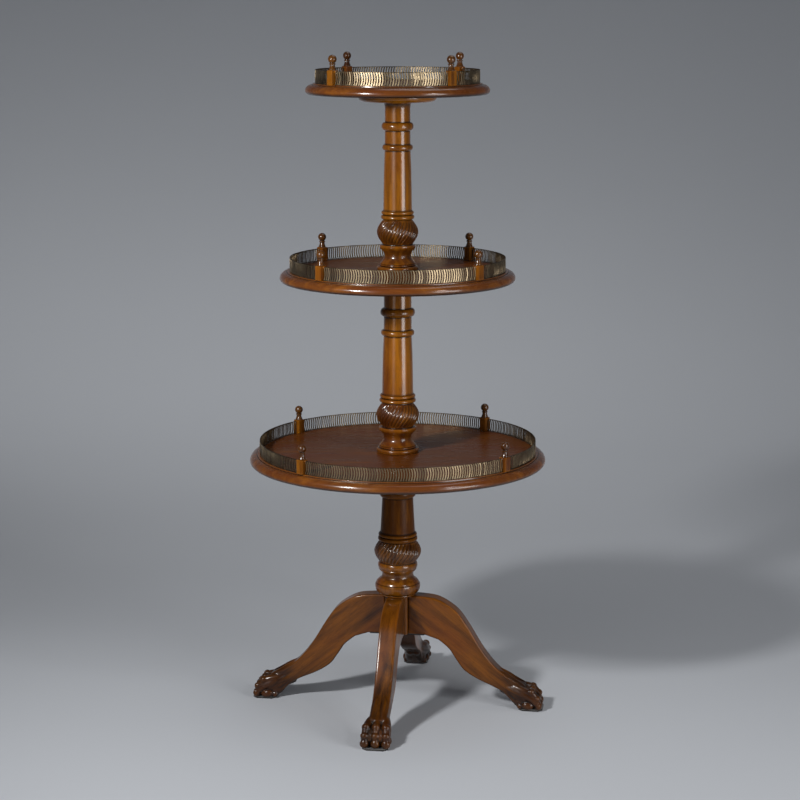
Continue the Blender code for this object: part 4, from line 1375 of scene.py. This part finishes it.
def board_mesh(settings):
    """Return the leg's board, cut to its side view with eased edges."""
    top, underside = (
        smooth_line(np.array(shares) * (LEG_REACH, BLOCK_HIGH), LEG_STEPS)
        for shares in (LEG_TOP_SHARES, LEG_UNDERSIDE_SHARES)
    )
    outline = [
        (BLOCK_HALF, BLOCK_HIGH), *top, (ANKLE_FRONT_SHARE * LEG_REACH, SOLE),
        (HEEL_SHARE * LEG_REACH, SOLE), *underside, (PLATE_REACH, BLOCK_LOW),
        (BLOCK_HALF, BLOCK_LOW),
    ]
    half = settings.thickness / 2
    work = bmesh.new()
    face = work.faces.new([work.verts.new((out, -half, up)) for out, up in outline])
    far = bmesh.ops.extrude_face_region(work, geom=[face], use_keep_orig=True)["geom"]
    moved = [item for item in far if isinstance(item, bmesh.types.BMVert)]
    bmesh.ops.translate(work, verts=moved, vec=(0, settings.thickness, 0))
    rims = {edge for side in work.faces if len(side.verts) > 4 for edge in side.edges}
    bmesh.ops.bevel(
        work, geom=list(rims), offset=settings.easing, segments=3, profile=0.5,
        affect="EDGES", clamp_overlap=True,
    )
    return work


def smoothed(places, edges, rounds):
    """Return places drawn halfway to the mean of their neighbours, some number of times."""
    ends = np.concatenate([edges, edges[:, ::-1]])
    counts = np.bincount(ends[:, 0], minlength=len(places))[:, None]
    for _ in range(rounds):
        sums = np.stack([
            np.bincount(ends[:, 0], weights=places[ends[:, 1], i], minlength=len(places))
            for i in range(3)
        ], axis=1)
        places = places + (sums / counts - places) / 2
    return places


def leg_mesh(settings):
    """Return a carved leg, pointing along +X, with glaze in its hollows that is also painted shade,
    and painted shade on its faces turned down and back.
    """
    work = board_mesh(settings)
    spacing = settings.toe_spacing
    pair, three = (-1, 1), (-1, 0, 1)
    for table, sides in (
        (TENDON_BALLS, pair), (TOE_BALLS, three), (FLANK_BALLS, pair), (CORE_BALLS, pair),
        (PALM_BALLS, pair),
    ):
        balls = smooth_line(table, BALL_STEPS_BETWEEN)
        for side, (out, aside, up, size) in product(sides, balls):
            centre = Vector((out / 1000, side * aside * spacing, up / 1000))
            set_ball(work, centre, [size / 1000] * 3, BALL_DETAIL)
    knuckles = [(out, aside * spacing * 1000, *rest) for out, aside, *rest in KNUCKLES]
    for table, sides in ((knuckles, three), (PAD_BALLS, pair)):
        for side, (out, aside, up, *sizes) in product(sides, table):
            centre = Vector((out, side * aside, up)) / 1000
            set_ball(work, centre, [size / 1000 for size in sizes], BALL_DETAIL)
    for vert in work.verts:
        vert.co.z = max(vert.co.z, SOLE)
    raw = bpy.data.meshes.new("leg")
    work.to_mesh(raw)
    work.free()
    holder = held("leg", raw)
    remesh = holder.modifiers.new("carve", "REMESH")
    remesh.mode = "VOXEL"
    remesh.voxel_size = settings.detail
    mesh = evaluated(holder)
    edges = read(mesh.edges, "vertices", 2, np.int32)
    places = smoothed(read(mesh.vertices, "co").astype(float), edges, CARVING_ROUNDS)
    places[:, 2] = np.maximum(places[:, 2], SOLE)
    mesh.vertices.foreach_set("co", places.astype(np.float32).ravel())
    mesh.update()
    tidied(mesh)
    mesh.shade_smooth()
    normals = read(mesh.vertices, "normal")
    drawn = smoothed(places, edges, HOLLOW_ROUNDS)
    depth = np.sum((drawn - places) * normals, axis=1) / CARVED_HOLLOW
    carved = np.clip((places[:, 0] - PAW_START) / (PAW_END - PAW_START), 0, 1)
    # Painted shade on the faces turned down and back towards the column
    painted_shade = HIDDEN_SIDE_SHADE * np.clip(2 * (normals @ HIDDEN_SIDE) - LEAST_HIDDEN, 0, 1)
    film = np.maximum(PAW_FILM * carved, painted_shade)
    # Glaze in the paw's hollows, which is also painted shade
    write_values(mesh, "glaze", np.clip(np.maximum(depth * carved - LEAST_CARVED, film), 0, 1))
    # Partly painted highlight: the leg's convex arrises are made paler, as well as rubbed
    write_values(mesh, "wear", np.clip(-depth * CARVED_WEAR_AND_SHEEN - LEAST_EDGE, 0, 1))
    write_values(mesh, "tone", np.interp(places[:, 0], *zip(*LEG_TONES_AND_HIGHLIGHT)))
    return mesh


class DUMBWAITER_OT_legs(Operator):
    """Carve the four cabriole legs with their paws."""

    bl_idname = "dumbwaiter.legs"
    bl_label = "Legs"

    def execute(self, context):
        shape = leg_mesh(context.scene.dumbwaiter.carving)
        rise, run = sin(GRAIN_FALL), cos(GRAIN_FALL)
        for i, leg in enumerate(LEGS):
            mesh = shape.copy()
            shift = [step * i for step in GRAIN_STEP]
            lay_grain(mesh, ((run, 0, rise), (0, 1, 0), (-rise, 0, run)), shift)
            mesh.transform(Matrix.Rotation(LEG_TURN + i * pi / 2, 4, "Z"))
            install(f"leg_{leg}_carved", mesh, PEDESTAL_BODY, [f"leg_{leg}"], CARVED)
        return {"FINISHED"}


# Studio

FLOOR_RADIUS = 2.6
SWEEP_RADIUS = 4.2
WALL_TOP = 8.0
SWEEP_STEPS = 24
FLOOR_SIDES = 128
# Brightness of the paper's darker mottling, as a share of its own
FLOOR_SHADE = 0.97
LENS = 95.95
CAMERA_ASIDE = 0.0048
# Each light's width and height, its place, the point that it is aimed at, and its spread
LIGHTS = {
    "key": ((0.21, 0.21), (-1.1, -1.37, 1.56), (0, 0, 0.7), 125),
    "side": ((0.2, 0.2), (1.2, -1.33, 1.62), (0, 0, 0.7), 150),
    "fill": ((0.9, 1.2), (-1.4, -2.4, 0.8), (0, 0, 0.8), 180),
    "strip": ((1.2, 1.2), (1.98, -1.85, 0.8), (0, 0, 0.8), 180),
    "top": ((1.6, 1.6), (0.5, 0.5, 3.3), (0.3, 0, 0), 180),
    "wall": ((3, 0.5), (-0.5, 2.2, 2.6), (-0.3, 4, 0.3), 140),
}


def soft_light(name, watts, sizes, place, aim, spread):
    """Hang a soft oblong light, aimed at a point, which the camera doesn't see."""
    data = bpy.data.lights.new(name, "AREA")
    data.shape = "RECTANGLE"
    data.energy = watts
    data.size, data.size_y = sizes
    data.spread = radians(spread)
    light = held(name, data)
    light.location = place
    light.rotation_euler = (Vector(place) - Vector(aim)).to_track_quat("Z", "Y").to_euler()
    light.visible_camera = False


class DUMBWAITER_OT_stage(Operator):
    """Lay the pale floor, hang the soft lights and set up the camera."""

    bl_idname = "dumbwaiter.stage"
    bl_label = "Studio"

    def execute(self, context):
        scene = context.scene
        studio = scene.dumbwaiter.studio
        scene.view_settings.view_transform = "Standard"
        shaded = [value * FLOOR_SHADE for value in studio.floor_colour]
        material, tree, shader, _ = flecked(
            "pale_studio_paper", shaded, studio.floor_colour, ((1.2, 2, 0),)
        )
        wire(tree, shader, {"Roughness": 0.85})
        outline = [
            (0, 0), (FLOOR_RADIUS / 2, 0),
            *arc((FLOOR_RADIUS, SWEEP_RADIUS), SWEEP_RADIUS, SWEEP_RADIUS, -90, 0, SWEEP_STEPS),
            (FLOOR_RADIUS + SWEEP_RADIUS, WALL_TOP),
        ]
        mesh = lofted("floor", [circle(*row, FLOOR_SIDES) for row in outline])
        mesh.materials.append(material)
        floor = held("studio_floor", mesh)

        world = bpy.data.worlds.new("studio_air")
        scene.world = world
        world.use_nodes = True
        air = world.node_tree.nodes["Background"]
        air_colour = opaque(studio.air_colour)
        wire(world.node_tree, air, {"Color": air_colour, "Strength": studio.air_strength})
        for name, light in LIGHTS.items():
            soft_light(name, getattr(studio, f"{name}_power"), *light)

        data = bpy.data.cameras.new("camera")
        data.lens = LENS
        camera = held("camera", data)
        camera.location = (CAMERA_ASIDE, -studio.camera_distance, studio.camera_height)
        camera.rotation_euler = (pi / 2 - studio.camera_fall, 0, 0)
        scene.camera = camera
        return {"FINISHED"}


class DUMBWAITER_PT_panel(Panel):
    """The dumbwaiter's tools and settings, in the 3D view's sidebar."""

    bl_idname = "DUMBWAITER_PT_panel"
    bl_label = "Dumbwaiter"
    bl_space_type = "VIEW_3D"
    bl_region_type = "UI"
    bl_category = "Dumbwaiter"

    def draw(self, context):
        for tool in OPERATORS:
            self.layout.operator(tool.bl_idname)
        settings = context.scene.dumbwaiter
        for group in DumbwaiterSettings.__annotations__:
            box = self.layout.box()
            box.label(text=group.capitalize())
            held_settings = getattr(settings, group)
            for item in held_settings.__annotations__:
                box.prop(held_settings, item)


OPERATORS = (
    DUMBWAITER_OT_stage,
    DUMBWAITER_OT_pedestal,
    DUMBWAITER_OT_legs,
    DUMBWAITER_OT_column,
    DUMBWAITER_OT_trays,
    DUMBWAITER_OT_posts,
    DUMBWAITER_OT_galleries,
    DUMBWAITER_OT_screws,
)
CLASSES = (
    StudioSettings,
    FinishSettings,
    ColumnSettings,
    TraySettings,
    GallerySettings,
    CarvingSettings,
    DumbwaiterSettings,
    *OPERATORS,
    DUMBWAITER_PT_panel,
)


def register():
    """Add the classes and the scene's settings."""
    for item in CLASSES:
        bpy.utils.register_class(item)
    bpy.types.Scene.dumbwaiter = PointerProperty(type=DumbwaiterSettings)


def unregister():
    """Remove the scene's settings and the classes."""
    del bpy.types.Scene.dumbwaiter
    for item in reversed(CLASSES):
        bpy.utils.unregister_class(item)


def main():
    """Build every piece in order."""
    register()
    for tool in OPERATORS:
        getattr(bpy.ops.dumbwaiter, tool.bl_idname.split(".")[1])()


if __name__ == "__main__":
    main()
